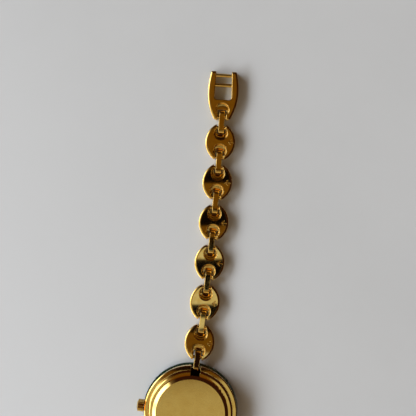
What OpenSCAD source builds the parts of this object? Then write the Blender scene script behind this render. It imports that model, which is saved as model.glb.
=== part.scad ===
// Ladies' bracelet watch, lying dial down. Millimetres, +Z up.
// The origin is the centre of the crystal's flat outer face. +Z leaves through the case back,
// +Y points along the 12 o'clock strand, and the crown is on the -X side.

/* [Case] */
// Diameter of the coloured bezel ring, the widest part of the case
bezel_d = 26; // [25.8:0.1:27]
// How far the bezel ring stands out past the gold case band
bezel_lip = 0.3; // [0.2:0.05:0.35]
// How far the crystal stands proud of the bezel ring
crystal_proud = 0.25; // [0.15:0.05:0.35]
// Diameter of the crystal
crystal_d = 21.2; // [20.6:0.1:21.4]
// Thickness of the crystal
crystal_t = 1.25; // [1.1:0.05:1.25]
// Radial width of the crystal's gasket
crystal_gasket_w = 0.3; // [0.25:0.05:0.35]
// Width of the snap collar that carries the bezel ring
collar_w = 0.7; // [0.6:0.05:0.8]
// Height of the snap collar
collar_h = 0.5; // [0.4:0.05:0.55]
// Height of the straight gold band above the bezel ring
band_h = 2.45; // [2.4:0.05:2.6]
// Radius of the rounded edge of the lower step
low_step_r = 0.3; // [0.2:0.05:0.35]
// Width of the flat ledge between the two steps
ledge_w = 0.8; // [0.7:0.05:0.85]
// Height of the flat part of the upper step's wall
high_step_wall = 0.2; // [0.1:0.05:0.25]
// Radius of the rounded edge of the upper step
high_step_r = 0.6; // [0.55:0.05:0.65]
// Height of the space for the hands, from the crystal to the dial
hand_space = 1.05; // [1.05:0.05:1.15]
// Diameter of the bore that holds the movement
movement_bore_d = 18.4; // [18.2:0.1:18.6]
// Width of the ledge that the dial lies on
dial_ledge_w = 0.3; // [0.2:0.05:0.4]

/* [Case back] */
// Diameter of the flat polished disc
back_flat_d = 18.8; // [18.4:0.1:19.2]
// Diameter of the case back at its seam with the case
back_d = 20.6; // [20.4:0.1:20.8]
// Height of the case back above the seam
back_h = 1.4; // [1.3:0.05:1.5]
// Thickness of the case back's disc
back_t = 0.5; // [0.4:0.05:0.55]
// Height of the straight rim at the seam
back_rim_h = 0.85; // [0.75:0.05:0.95]
// Depth that the snap skirt reaches into the case
skirt_h = 0.5; // [0.45:0.05:0.55]
// Thickness of the snap skirt
skirt_t = 0.3; // [0.25:0.05:0.35]
// Width and height of the case back's gasket
back_gasket_w = 0.28; // [0.22:0.02:0.3]

/* [Bracelet link] */
// Width of a link
link_w = 8.25; // [8:0.05:8.4]
// Length of a link from tip to tip
link_l = 10.2; // [10:0.1:10.4]
// Thickness of the links and end pieces
link_t = 2.3; // [2.2:0.05:2.4]
// Radius of the long sides of a link, seen from above
link_side_r = 5.7; // [5.5:0.1:6]
// Radius of the rounded rim of the links and end pieces
rim_r = 0.35; // [0.25:0.05:0.4]
// Diameter of the two round holes in a link
hole_d = 3.95; // [3.8:0.05:4]
// Width of the bar left between the two holes
waist_w = 0.85; // [0.8:0.05:0.95]
// Diameter of those holes halfway through, where their sloping walls end
hole_mid_d = 2; // [1.9:0.05:2.2]
// Diameter of the round cross bar that a connector turns on
bridge_d = 0.84; // [0.7:0.02:0.86]
// Distance from a link's tip to the centre of its cross bar
bridge_inset = 1; // [0.95:0.05:1.05]
// Width of the engraved arrow's strokes
arrow_w = 0.2; // [0.16:0.02:0.26]
// Depth of the engraved arrow
arrow_depth = 0.12; // [0.08:0.02:0.16]

/* [Connector] */
// Width of a connector
conn_w = 1.6; // [1.5:0.05:1.7]
// Thickness of a connector
conn_t = 1.9; // [1.8:0.02:1.9]
// Gap between the tips of two neighbouring links
link_gap = 0.9; // [0.8:0.05:1]
// How far a connector reaches past its bore inside a link
conn_reach = 1.78; // [1.6:0.02:1.85]
// Chamfer along a connector's edges
conn_chamfer = 0.22; // [0.15:0.01:0.26]
// Running clearance of a bore round its cross bar, on the radius
turn_fit = 0.08; // [0.05:0.01:0.1]
// Side play between a connector and the walls of its notch
side_play = 0.42; // [0.35:0.01:0.45]

/* [Strands] */
// Angle of the first connector below level, where it stops on the case
first_tilt = 23; // [20:1:24]
// Heading of the 12 o'clock strand as it leaves the case, towards +X
lay_a = 1; // [0:0.5:1.5]
// Change of heading from one piece to the next on that strand
drift_a = -0.4; // [-0.5:0.05:-0.2]
// Heading of the 6 o'clock strand as it leaves the case
lay_b = 0; // [-1:0.5:1]
// Change of heading from one piece to the next on that strand
drift_b = 0.2; // [0:0.05:0.4]

/* [End pieces] */
// Length of an end piece
end_l = 13.5; // [13.3:0.1:13.8]
// Greatest width of an end piece
end_w = 8.45; // [8.3:0.05:8.6]
// Distance from the mouth to the widest place
end_wide_at = 5.6; // [5.2:0.1:6]
// Radius of the sides between the mouth and the widest place
end_mouth_r = 22; // [20:0.5:26]
// Radius of the sides between the widest place and the tips
end_tip_r = 15.5; // [15:0.1:16.5]
// Radius of the arc that the two tips lie on
end_nose_r = 8; // [7.8:0.1:8.4]
// Width of the opening at the mouth
mouth_w = 4.3; // [4.2:0.05:4.4]
// Width of the opening at its closed end
throat_w = 4.7; // [4.6:0.05:4.8]
// Depth of the opening
mouth_depth = 7.8; // [7.7:0.05:7.9]
// Radius of the opening's corners
throat_r = 0.7; // [0.5:0.05:0.9]
// Diameter of the round hole at the tips
end_hole_d = 4; // [3.9:0.05:4.1]
// Distance from the tips to the centre of the hole
end_hole_at = 2.95; // [2.9:0.05:3.05]
// Diameter of the ladder's cross bars
ladder_bar_d = 1; // [0.9:0.02:1]
// Distance from the mouth to the first ladder bar
ladder_first = 1; // [0.9:0.05:1.1]
// Distance between the two ladder bars
ladder_pitch = 2.7; // [2.5:0.05:2.8]
// How deep the cross bars are set into the legs
bar_seat = 0.5; // [0.4:0.05:0.6]

/* [Clasp lever] */
// Diameter of the pin that the lever turns on
lever_pin_d = 0.9; // [0.8:0.02:0.95]
// Distance from the mouth to the lever's pin
lever_pin_at = 1.15; // [1.1:0.05:1.2]
// Width of the lever
lever_w = 3.7; // [3.5:0.05:3.8]
// Diameter of the lever's eye
lever_eye_d = 1.8; // [1.7:0.05:1.85]
// Length of the lever's plate from the pin inwards
lever_plate_l = 5.9; // [5.5:0.1:6.1]
// Thickness of the lever's plate
lever_plate_t = 1.1; // [1:0.05:1.2]
// Gap between the two mouths when the clasp is hooked
closed_gap = 0.55; // [0.45:0.05:0.7]
// Thickness of the hook
hook_t = 0.5; // [0.4:0.05:0.55]
// Height of the hook's upturned end
hook_h = 1.6; // [1.4:0.05:1.7]
// Free space round the ladder bar in the hook
hook_play = 0.15; // [0.1:0.05:0.2]

/* [Case end bars] */
// Distance from the edge of the case band in to its end bars
end_bar_at = 0.6; // [0.55:0.05:0.7]
// Height of the end bars above the bezel ring
end_bar_z = 1.65; // [1.55:0.05:1.75]
// Diameter of the end bars
end_bar_d = 0.7; // [0.66:0.02:0.74]
// How deep the end bars are set into the case
end_bar_seat = 0.8; // [0.7:0.05:0.9]
// Depth of a case slot inwards from its end bar
slot_depth = 2.2; // [2.1:0.05:2.25]
// Thickness of the floor under a case slot
slot_floor_t = 0.25; // [0.2:0.05:0.3]
// How far the first connector reaches past its bore inside the case slot
slot_reach = 1; // [0.96:0.02:1.2]

/* [Crown and stem] */
// Diameter of the crown
crown_d = 3.3; // [3.1:0.1:3.4]
// Length of the crown without its dome
crown_l = 1.65; // [1.5:0.05:1.8]
// Height of the crown's dome
crown_dome = 0.25; // [0.15:0.05:0.35]
// Flutes round the crown
crown_flutes = 24; // [20:2:28]
// Depth of the crown's flutes
flute_depth = 0.12; // [0.08:0.02:0.14]
// Gap between the pushed-in crown and the case band
crown_gap = 0.1; // [0.06:0.02:0.2]
// Height of the stem above the dial side of the main plate
stem_z = 0.6; // [0.58:0.01:0.62]
// Diameter of the stem
stem_d = 0.7; // [0.66:0.01:0.72]
// Diameter of the stem where it is turned down for the setting lever
groove_d = 0.4; // [0.36:0.02:0.44]
// Width across the flats of the stem's square end
stem_square = 0.4; // [0.36:0.01:0.42]
// Distance that the crown pulls out
crown_travel = 0.6; // [0.5:0.05:0.65]
// Outer diameter of the crown tube
tube_d = 1.3; // [1.25:0.05:1.35]
// Diameter of the sliding pinion
clutch_d = 1.1; // [1.08:0.01:1.14]
// Length of the sliding pinion
clutch_l = 1; // [0.8:0.05:1.1]
// Distance from the centre of the watch to the middle of the sliding pinion
clutch_at = 4.9; // [4.8:0.05:5]
// Distance from the centre of the watch to the setting lever's pin
lever_at = 6.4; // [6.3:0.05:6.5]
// Distance between the setting lever's post and its pin
setting_arm = 2; // [1.9:0.05:2.1]

/* [Movement] */
// Diameter of the movement
movement_d = 16; // [15.9:0.05:16.1]
// Thickness of the dial
dial_t = 0.3; // [0.25:0.01:0.32]
// Thickness of the main plate
plate_t = 1; // [0.95:0.01:1.02]
// Depth of the pocket for the motion work, under the dial
pocket_depth = 0.6; // [0.56:0.01:0.64]
// Space between the main plate and the train bridge
train_space = 1.2; // [1.18:0.01:1.24]
// Thickness of the train bridge
bridge_t = 0.3; // [0.25:0.01:0.32]
// Diameter of the battery
battery_d = 5.8; // [5.6:0.05:5.9]
// Thickness of the battery
battery_t = 2.1; // [2:0.01:2.12]
// Diameter of the coil
coil_d = 1.1; // [1:0.02:1.12]
// Length of the coil's winding
coil_l = 5; // [4.6:0.1:5.2]

/* [Gears] */
// Tooth size of the motion work
motion_module = 0.11; // [0.108:0.001:0.112]
// Tooth size of the going train
train_module = 0.08; // [0.078:0.001:0.082]

/* [Hands] */
// Length of the minute hand
minute_hand_l = 7.6; // [7:0.1:8]
// Length of the hour hand
hour_hand_l = 5.2; // [4.8:0.1:5.6]
// Thickness of the hands
hand_t = 0.14; // [0.12:0.01:0.15]
// Greatest width of the hands
hand_w = 0.7; // [0.5:0.05:0.8]
// Minutes past ten that the hands show
shown_minutes = 10; // [0:1:30]

/* [Hidden] */
$fn = 64;

gold = [0.83, 0.64, 0.28];
dark_green = [0.05, 0.16, 0.14];
steel = [0.75, 0.76, 0.78];
brass = [0.78, 0.62, 0.33];

// Small distance by which a cut runs past the face that it opens
past = 0.2;
// Clearance between pieces that are pressed or snapped together
snug = 0.02;
// Clearance on the radius of a small running fit
run = 0.03;
// Clearance round pieces that only pass through an opening
loose = 0.2;

// Case heights and radii
case_r = bezel_d / 2 - bezel_lip;
bezel_bore_r = crystal_d / 2 + crystal_gasket_w;
bezel_wall = bezel_d / 2 - bezel_bore_r;
bezel_round_r = min(0.45, bezel_wall / 3);
bezel_top = crystal_t;
crystal_ease = 0.15;
gasket_inset = 0.1;
bore_r = movement_bore_d / 2;
ledge_r = bore_r - dial_ledge_w;
dial_z = bezel_top + hand_space;
low_edge_z = bezel_top + band_h;
low_top_z = low_edge_z + low_step_r;
high_base_r = case_r - low_step_r - ledge_w;
high_edge_z = low_top_z + high_step_wall;
case_top = high_edge_z + high_step_r;
back_top = case_top + back_h;
back_inner_z = back_top - back_t;
skirt_z = case_top - skirt_h;
skirt_outer_r = bore_r - 2 * run;
skirt_inner_r = skirt_outer_r - skirt_t;
gasket_seat_r = bore_r + back_gasket_w + snug;

// Movement heights
ring_gap = 0.1;
dial_r = bore_r - ring_gap;
plate_z = dial_z + dial_t;
plate_top = plate_z + plate_t;
pocket_z = plate_z + pocket_depth;
bridge_z = plate_top + train_space;
bridge_top = bridge_z + bridge_t;
movement_r = movement_d / 2;
ring_top = skirt_z - snug;
stem_axis_z = plate_z + stem_z;

// Bracelet
bar_y = case_r - end_bar_at;
bar_z = bezel_top + end_bar_z;
conn_span = 2 * bridge_inset + link_gap;
link_span = link_l - 2 * bridge_inset;
notch_w = conn_w + 2 * side_play;
// How far the cross bars run into the walls of their notch
bridge_root = 0.15;
bridge_l = notch_w + 2 * bridge_root;
slot_w = notch_w + 0.15;
end_half = conn_t / 2;
hole_at = (hole_d + waist_w) / 2;
// Half height of the straight wall in the middle of a hole
hole_land = 0.16;
near_z = bar_z - conn_span * sin(first_tilt);
link_tilt = asin((near_z - link_t / 2) / (link_span + bridge_inset - rim_r));
far_z = near_z - link_span * sin(link_tilt);
second_tilt = asin((far_z - link_t / 2) / conn_span);
// Pieces of a strand, connectors and links in turn, and the end piece
pieces = 14;
// Place of the mouth in the end piece's own frame
mouth_y = end_l - bridge_inset;

// Crown and stem
crown_face_x = -(case_r + crown_gap);
crown_grip = 0.6 * crown_l;
groove_w = 0.45;
clutch_room = 0.1;
clutch_teeth = 12;
setting_z = plate_top + 2 * run;
setting_t = 0.2;
setting_w = 0.6;
lever_pin_r = 0.14;
lever_post = [-lever_at, -setting_arm];

// Height of a gear's teeth inside and outside the pitch circle, in modules
dedendum = 1.25;
addendum = 0.75;
// Half widths of a tooth at its root, pitch circle and tip, as shares of the pitch
root_half = 0.3;
mid_half = 0.185;
tip_half = 0.08;
// Teeth of the motion work, which turns the hour wheel once for twelve turns of the minute hand
cannon_teeth = 10;
minute_teeth = 30;
minute_pinion_teeth = 8;
hour_teeth = 32;
// Teeth of the going train, which turns the rotor thirty times in an hour
centre_teeth = 48;
third_teeth = 40;
leaf_teeth = 8;

// Wheel axes, seen from the back
motion_dist = motion_module * (cannon_teeth + minute_teeth) / 2;
motion_dir = 200;
train_dist = train_module * (centre_teeth + leaf_teeth) / 2;
train_dir = 120;
rotor_module = 0.9 * train_module;
rotor_dist = rotor_module * (third_teeth + leaf_teeth) / 2;
rotor_dir = 62;
minute_axis = motion_dist * [cos(motion_dir), sin(motion_dir)];
third_axis = train_dist * [cos(train_dir), sin(train_dir)];
rotor_axis = third_axis + rotor_dist * [cos(rotor_dir), sin(rotor_dir)];

// Thickness of the wheels, and the parts of their arbors
wheel_t = 0.14;
cannon_t = 0.2;
arbor_r = 0.36;
post_r = 0.26;
pipe_t = 0.12;
hour_pipe_r = arbor_r + run + pipe_t;
staff_r = 0.14;
pivot_r = 0.08;
pivot_l = 0.2;
stud_l = 0.25;
shoulder_gap = 0.1;

// Levels under the dial
hour_wheel_z = plate_z + 0.12;
cannon_z = hour_wheel_z + 0.24;
hand_gap = 0.16;
minute_hand_z = bezel_top + loose;
hour_hand_z = minute_hand_z + hand_t + hand_gap;
// Levels in the going train
centre_wheel_z = plate_top + 0.35;
third_wheel_z = centre_wheel_z + 0.4;

// Hands
hand_tail = 1.6;
hand_tip_w = 0.16;
hand_boss_w = 0.3;

// Plate, bridge and screws
pocket_gap = 0.3;
floor_t = 0.25;
bridge_arm_w = 1.4;
post_w = 1.2;
bridge_posts = [[-4.7, 3.4], [4.4, 3.5], [-3.1, -2.9]];
clamp_posts = [[-0.9, -5.6], [6.2, 0.8]];
screw_r = 0.3;
screw_head_d = 1.1;
screw_head_h = 0.25;
screw_slot = 0.14;
screw_grip = 0.6;

// Battery with its clamp
battery_gap = 0.08;
battery_dir = -45;
battery_axis = (movement_r - battery_d / 2 - battery_gap) * [cos(battery_dir), sin(battery_dir)];
battery_z = plate_z + floor_t + snug;
clamp_t = 0.12;
clamp_w = 1.4;
clamp_z = battery_z + battery_t + run;

// Circuit board with its chip and its two posts
board_z = plate_top + 0.55;
board_t = 0.25;
board_edge = 0.4;
board_top = -3.9;
board_right = -0.9;
board_posts = [[-5.2, -4.4], [-2.1, -6.4]];
chip_at = [-3.6, -4.9];
chip_size = [1.6, 1.3, 0.35];

// Motor: the coil lies across the ends of the stator
core_t = 0.3;
core_w = 0.7;
coil_y = 6.1;
flange_w = 0.1;
arm_reach = coil_l / 2 + 2 * flange_w + core_w;
stator_z = plate_top + 0.22;
coil_z = stator_z + 1.5 * core_t + snug;
pole_w = 3;
pole_l = 2.2;
magnet_r = 0.55;
magnet_t = 0.4;
rotor_gap = 0.25;

// Direction of a piece of a strand, from its heading and its slope
function heading(k, lay, drift) = lay + drift * k;
function slope(k) = k == 0 ? -first_tilt : k == 1 ? -link_tilt : k == 2 ? -second_tilt : 0;
function span(k) = k % 2 == 0 ? conn_span : link_span;
function along(k, lay, drift) =
    let (h = heading(k, lay, drift), s = slope(k)) [sin(h) * cos(s), cos(h) * cos(s), sin(s)];
// Place of the cross bar at the start of piece k of a strand
function start(k, lay, drift) =
    k == 0 ? [0, bar_y, bar_z]
           : start(k - 1, lay, drift) + span(k - 1) * along(k - 1, lay, drift);
// Width of an end piece's opening at a distance from its mouth
function opening_at(d) = mouth_w + (throat_w - mouth_w) * d / (mouth_depth - throat_r);

// Sets a piece of the 12 o'clock strand in its place
module lay_on_a(k) {
    translate(start(k, lay_a, drift_a))
        rotate([0, 0, -heading(k, lay_a, drift_a)])
            rotate([slope(k), 0, 0]) children();
}

// Sets a piece of the 6 o'clock strand in its place
module lay_on_b(k) {
    rotate([0, 0, 180])
        translate(start(k, lay_b, drift_b))
            rotate([0, 0, -heading(k, lay_b, drift_b)])
                rotate([slope(k), 0, 0]) children();
}

// Round bar along X, centred
module cross_bar(d, l) {
    rotate([0, 90, 0]) cylinder(d = d, h = l, center = true);
}

// Flat disc with a rounded rim, centred on z = 0
module rimmed_disc(r, t) {
    rotate_extrude($fn = 96) {
        translate([0, -t / 2]) square([r - rim_r, t]);
        translate([0, rim_r - t / 2]) square([r, t - 2 * rim_r]);
        translate([r - rim_r, rim_r - t / 2]) circle(r = rim_r, $fn = 32);
        translate([r - rim_r, t / 2 - rim_r]) circle(r = rim_r, $fn = 32);
    }
}

// Two rimmed discs of radius r crossed to leave a lens of width w
module lens(r, w, t) {
    intersection() {
        translate([r - w / 2, 0, 0]) rimmed_disc(r, t);
        translate([w / 2 - r, 0, 0]) rimmed_disc(r, t);
    }
}

// Through hole with sloping walls, d wide at both faces and narrowest halfway through
module sloped_hole(d, t) {
    depth = t / 2 - hole_land;
    cylinder(d = hole_mid_d, h = t, center = true);
    for (turn = [0, 180]) rotate([turn, 0, 0]) translate([0, 0, hole_land])
        cylinder(d1 = hole_mid_d, d2 = d + (d - hole_mid_d) * past / depth, h = depth + past);
}

// Arrow engraved on the wrist side, pointing to the middle of the link
module arrow(t) {
    shaft_from = 2.1;
    shaft_to = 3.7;
    barb = 0.75;
    barb_angle = 42;
    translate([0, 0, t / 2 - arrow_depth]) {
        translate([shaft_from, -arrow_w / 2, 0]) cube([shaft_to - shaft_from, arrow_w, past]);
        for (side = [-1, 1])
            translate([shaft_from, 0, 0]) rotate([0, 0, side * barb_angle])
                translate([-arrow_w / 2, -arrow_w / 2, 0]) cube([barb + arrow_w / 2, arrow_w, past]);
    }
}

// Anchor link. Its first cross bar lies on the origin and it reaches along +Y.
module link() {
    middle = link_l / 2 - bridge_inset;
    color(gold) translate([0, middle, 0]) {
        difference() {
            intersection() {
                lens(link_side_r, link_w, link_t);
                rimmed_disc(link_l / 2, link_t);
            }
            for (side = [-1, 1]) {
                translate([0, side * hole_at, 0]) sloped_hole(hole_d, link_t);
                translate([-notch_w / 2, side > 0 ? hole_at : -link_l / 2 - past, -link_t / 2 - past])
                    cube([notch_w, link_l / 2 + past - hole_at, link_t + 2 * past]);
            }
            arrow(link_t);
        }
        for (side = [-1, 1])
            translate([0, side * middle, 0]) cross_bar(bridge_d, bridge_l);
    }
}

// Side view of a connector in Y and Z, with its first bore on the origin
module connector_side(reach_in, reach_out) {
    from = -reach_in + end_half;
    to = conn_span + reach_out - end_half;
    translate([from, -end_half]) square([to - from, conn_t]);
    translate([from, 0]) circle(r = end_half);
    translate([to, 0]) circle(r = end_half);
}

// Narrow bar with a bore near each end. reach_in and reach_out are what lies past the bores.
module connector(reach_in, reach_out, bar_in, bar_out) {
    whole = conn_span + reach_in + reach_out;
    edge = conn_chamfer;
    color(gold) difference() {
        intersection() {
            translate([conn_w / 2, 0, 0]) rotate([90, 0, -90])
                mirror([1, 0, 0]) linear_extrude(conn_w) connector_side(reach_in, reach_out);
            translate([0, conn_span + reach_out + past, 0]) rotate([90, 0, 0])
                linear_extrude(whole + 2 * past)
                    polygon([
                        [edge - conn_w / 2, -end_half], [conn_w / 2 - edge, -end_half],
                        [conn_w / 2, edge - end_half], [conn_w / 2, end_half - edge],
                        [conn_w / 2 - edge, end_half], [edge - conn_w / 2, end_half],
                        [-conn_w / 2, end_half - edge], [-conn_w / 2, edge - end_half]
                    ]);
        }
        cross_bar(bar_in + 2 * turn_fit, conn_w + 2 * past);
        translate([0, conn_span, 0]) cross_bar(bar_out + 2 * turn_fit, conn_w + 2 * past);
    }
}

module plain_connector() { connector(conn_reach, conn_reach, bridge_d, bridge_d); }
module case_connector() { connector(slot_reach, conn_reach, end_bar_d, bridge_d); }

// Outline of an end piece with its rounded rim, tips on y = 0 and mouth on y = end_l
module end_body() {
    wide_y = end_l - end_wide_at;
    far_r = 4 * end_l;
    intersection() {
        union() {
            intersection() {
                translate([0, wide_y, 0]) lens(end_mouth_r, end_w, link_t);
                translate([-end_w, wide_y, -link_t]) cube([2 * end_w, end_l, 2 * link_t]);
            }
            intersection() {
                translate([0, wide_y, 0]) lens(end_tip_r, end_w, link_t);
                translate([-end_w, -past, -link_t]) cube([2 * end_w, wide_y + past, 2 * link_t]);
            }
        }
        translate([0, end_nose_r, 0]) rimmed_disc(end_nose_r, link_t);
        translate([0, end_l - far_r, 0]) rimmed_disc(far_r, link_t);
    }
}

// Opening between the legs of an end piece
module mouth_outline() {
    floor_y = end_l - mouth_depth;
    corner_x = throat_w / 2 - throat_r;
    translate([-corner_x, floor_y]) square([2 * corner_x, 2 * throat_r]);
    for (side = [-1, 1]) translate([side * corner_x, floor_y + throat_r]) circle(r = throat_r, $fn = 32);
    polygon([
        [-throat_w / 2, floor_y + throat_r], [throat_w / 2, floor_y + throat_r],
        [mouth_w / 2, end_l + past], [-mouth_w / 2, end_l + past]
    ]);
}

// End piece. Its first cross bar lies on the origin and its mouth faces +Y.
module end_frame() {
    color(gold) translate([0, -bridge_inset, 0]) {
        difference() {
            end_body();
            translate([0, end_hole_at, 0]) sloped_hole(end_hole_d, link_t);
            translate([-notch_w / 2, -past, -link_t / 2 - past])
                cube([notch_w, end_hole_at + past, link_t + 2 * past]);
            translate([0, 0, -link_t]) linear_extrude(2 * link_t) mouth_outline();
        }
        translate([0, bridge_inset, 0]) cross_bar(bridge_d, bridge_l);
    }
}

// Blind holes in the legs for a cross bar at a distance from the mouth
module bar_seats(d, at) {
    translate([0, mouth_y - at, 0]) cross_bar(d, opening_at(at) + 2 * bar_seat);
}

module ladder_frame() {
    lay_on_a(pieces - 1) difference() {
        end_frame();
        bar_seats(ladder_bar_d, ladder_first);
        bar_seats(ladder_bar_d, ladder_first + ladder_pitch);
    }
}

module ladder_bars() {
    color(gold) lay_on_a(pieces - 1)
        for (at = [ladder_first, ladder_first + ladder_pitch])
            translate([0, mouth_y - at, 0])
                cross_bar(ladder_bar_d - snug, opening_at(at) + 2 * (bar_seat - snug));
}

module clasp_frame() {
    lay_on_b(pieces - 1) difference() {
        end_frame();
        bar_seats(lever_pin_d, lever_pin_at);
    }
}

module clasp_pin() {
    color(gold) lay_on_b(pieces - 1) translate([0, mouth_y - lever_pin_at, 0])
        cross_bar(lever_pin_d - snug, opening_at(lever_pin_at) + 2 * (bar_seat - snug));
}

// Side view of the lever in Y and Z, with its pin on the origin and its plate towards -Y
module lever_side() {
    plate_rise = 0.15;
    plate_low = plate_rise - lever_plate_t / 2;
    bar_y = lever_pin_at + closed_gap + ladder_first;
    hook_y = bar_y + ladder_bar_d / 2 + hook_play;
    hook_low = -ladder_bar_d / 2 - hook_play - hook_t;
    circle(d = lever_eye_d);
    translate([-lever_plate_l, plate_low]) square([lever_plate_l, lever_plate_t]);
    translate([-lever_plate_l, plate_low + lever_plate_t / 2]) circle(d = lever_plate_t);
    translate([0, hook_low]) square([hook_y + hook_t / 2, hook_t]);
    translate([hook_y + hook_t / 2, hook_low + hook_t / 2]) circle(d = hook_t, $fn = 32);
    translate([hook_y, hook_low + hook_t / 2]) square([hook_t, hook_h - hook_t]);
    translate([hook_y + hook_t / 2, hook_low + hook_h - hook_t / 2]) circle(d = hook_t, $fn = 32);
    polygon([
        [0, hook_low], [lever_eye_d / 2, hook_low], [lever_eye_d / 2, 0], [0, 0]
    ]);
}

module clasp_lever() {
    color(gold) lay_on_b(pieces - 1) translate([0, mouth_y - lever_pin_at, 0])
        difference() {
            translate([-lever_w / 2, 0, 0]) rotate([90, 0, 90])
                linear_extrude(lever_w) lever_side();
            cross_bar(lever_pin_d + 2 * run, lever_w + 2 * past);
        }
}

module end_bars() {
    bar_l = slot_w + 2 * (end_bar_seat - snug);
    color(steel) for (side = [-1, 1])
        translate([0, side * bar_y, bar_z]) cross_bar(end_bar_d - snug, bar_l);
}

// Half section of the case band in radius and height
module case_section() {
    difference() {
        union() {
            translate([0, bezel_top]) square([case_r, band_h]);
            translate([0, bezel_top]) square([case_r - low_step_r, low_top_z - bezel_top]);
            translate([case_r - low_step_r, low_edge_z]) circle(r = low_step_r);
            translate([0, bezel_top]) square([high_base_r, high_edge_z - bezel_top]);
            translate([0, bezel_top]) square([high_base_r - high_step_r, case_top - bezel_top]);
            translate([high_base_r - high_step_r, high_edge_z]) circle(r = high_step_r);
            translate([bezel_bore_r, bezel_top - collar_h]) square([collar_w, collar_h + past]);
        }
        translate([-past, bezel_top - past]) square([ledge_r + past, case_top]);
        translate([-past, dial_z]) square([bore_r + past, case_top]);
        translate([-past, case_top - back_gasket_w - snug]) square([gasket_seat_r + past, case_top]);
    }
}

module case_middle() {
    color(gold) difference() {
        rotate_extrude($fn = 128) case_section();
        for (side = [0, 180]) rotate([0, 0, side]) {
            translate([-slot_w / 2, bar_y - slot_depth, bezel_top + slot_floor_t])
                cube([slot_w, case_r, case_top]);
            translate([0, bar_y, bar_z])
                cross_bar(end_bar_d, slot_w + 2 * end_bar_seat);
        }
        translate([0, 0, stem_axis_z]) rotate([0, -90, 0]) cylinder(d = tube_d, h = case_r + past);
    }
}

module bezel_ring() {
    outer = bezel_d / 2;
    edge = bezel_round_r;
    color(dark_green) rotate_extrude($fn = 128) difference() {
        union() {
            translate([bezel_bore_r, crystal_proud])
                square([bezel_wall - edge, bezel_top - crystal_proud]);
            translate([bezel_bore_r, crystal_proud + edge])
                square([bezel_wall, bezel_top - crystal_proud - edge]);
            translate([outer - edge, crystal_proud + edge]) circle(r = edge);
        }
        translate([bezel_bore_r - past, bezel_top - collar_h - snug])
            square([collar_w + past + snug, collar_h + past]);
    }
}

module crystal() {
    ease = crystal_ease;
    r = crystal_d / 2;
    color([0.8, 0.88, 0.9, 0.35]) rotate_extrude($fn = 128)
        polygon([[0, 0], [r - ease, 0], [r, ease], [r, crystal_t], [0, crystal_t]]);
}

module crystal_gasket() {
    color([0.1, 0.1, 0.1]) rotate_extrude($fn = 128)
        translate([crystal_d / 2 + snug, crystal_proud + gasket_inset])
            square([crystal_gasket_w - 2 * snug, bezel_top - crystal_proud - gasket_inset]);
}

module case_back() {
    flat_r = back_flat_d / 2;
    color(gold) rotate_extrude($fn = 128) polygon([
        [0, back_inner_z], [skirt_inner_r, back_inner_z], [skirt_inner_r, skirt_z],
        [skirt_outer_r, skirt_z], [skirt_outer_r, case_top], [back_d / 2, case_top],
        [back_d / 2, case_top + back_rim_h], [flat_r, back_top], [0, back_top]
    ]);
}

module back_gasket() {
    color([0.1, 0.1, 0.1]) rotate_extrude($fn = 128)
        translate([bore_r, case_top - back_gasket_w]) square(back_gasket_w - snug);
}

module dial() {
    color([0.95, 0.94, 0.9]) translate([0, 0, dial_z + snug]) difference() {
        cylinder(r = dial_r, h = dial_t - 2 * snug, $fn = 96);
        translate([0, 0, -past]) cylinder(r = hour_pipe_r + loose, h = dial_t + 2 * past);
    }
}

// Flat pointer from the origin along +Y with a round boss, height t
module pointer(l, w, boss_r, t) {
    linear_extrude(t) {
        polygon([
            [-w * 0.35, -hand_tail], [w * 0.35, -hand_tail], [w * 0.5, 0], [w * 0.4, l * 0.6],
            [hand_tip_w / 2, l], [-hand_tip_w / 2, l], [-w * 0.4, l * 0.6], [-w * 0.5, 0]
        ]);
        circle(r = boss_r);
    }
}

module hour_hand() {
    turn = 300 + shown_minutes / 2;
    color(gold) translate([0, 0, hour_hand_z]) rotate([0, 0, turn]) difference() {
        union() {
            pointer(hour_hand_l, hand_w, hour_pipe_r + hand_boss_w, hand_t);
            cylinder(r = hour_pipe_r + pipe_t, h = hand_t + hand_gap - run);
        }
        translate([0, 0, -past]) cylinder(r = hour_pipe_r + snug, h = 2 * past + hand_t + hand_gap);
    }
}

module minute_hand() {
    turn = 6 * shown_minutes;
    color(gold) translate([0, 0, minute_hand_z]) rotate([0, 0, turn]) difference() {
        union() {
            pointer(minute_hand_l, 0.8 * hand_w, arbor_r + hand_boss_w, hand_t);
            cylinder(r = arbor_r + pipe_t, h = hand_t + hand_gap / 2);
        }
        translate([0, 0, -past]) cylinder(r = post_r + snug, h = 2 * past + hand_t + hand_gap);
    }
}

// Gear wheel with trapezoid teeth. The first tooth points along aim, unless a gap does.
module gear(teeth, m, h, aim, gap_first) {
    step = 360 / teeth;
    turn = aim + (gap_first ? step / 2 : 0);
    root = m * (teeth / 2 - dedendum);
    mid = m * teeth / 2;
    tip = m * (teeth / 2 + addendum);
    linear_extrude(h) polygon([
        for (i = [0:teeth - 1], p = [[root, -root_half], [mid, -mid_half], [tip, -tip_half],
                                     [tip, tip_half], [mid, mid_half], [root, root_half]])
            p[0] * [cos(turn + step * (i + p[1])), sin(turn + step * (i + p[1]))]
    ]);
}

// Upright cylinder of a radius between two heights
module upright(r, from, to) {
    translate([0, 0, from]) cylinder(r = r, h = to - from);
}

module centre_wheel() {
    shoulder_z = bridge_z - shoulder_gap;
    color(brass) {
        translate([0, 0, centre_wheel_z]) gear(centre_teeth, train_module, wheel_t, train_dir, false);
        translate([0, 0, cannon_z]) gear(cannon_teeth, motion_module, cannon_t, motion_dir, false);
        upright(arbor_r, hour_hand_z - run, shoulder_z);
        upright(post_r, minute_hand_z, cannon_z);
        upright(staff_r, shoulder_z - pivot_l, bridge_z + 0.8 * bridge_t);
    }
}

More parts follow.
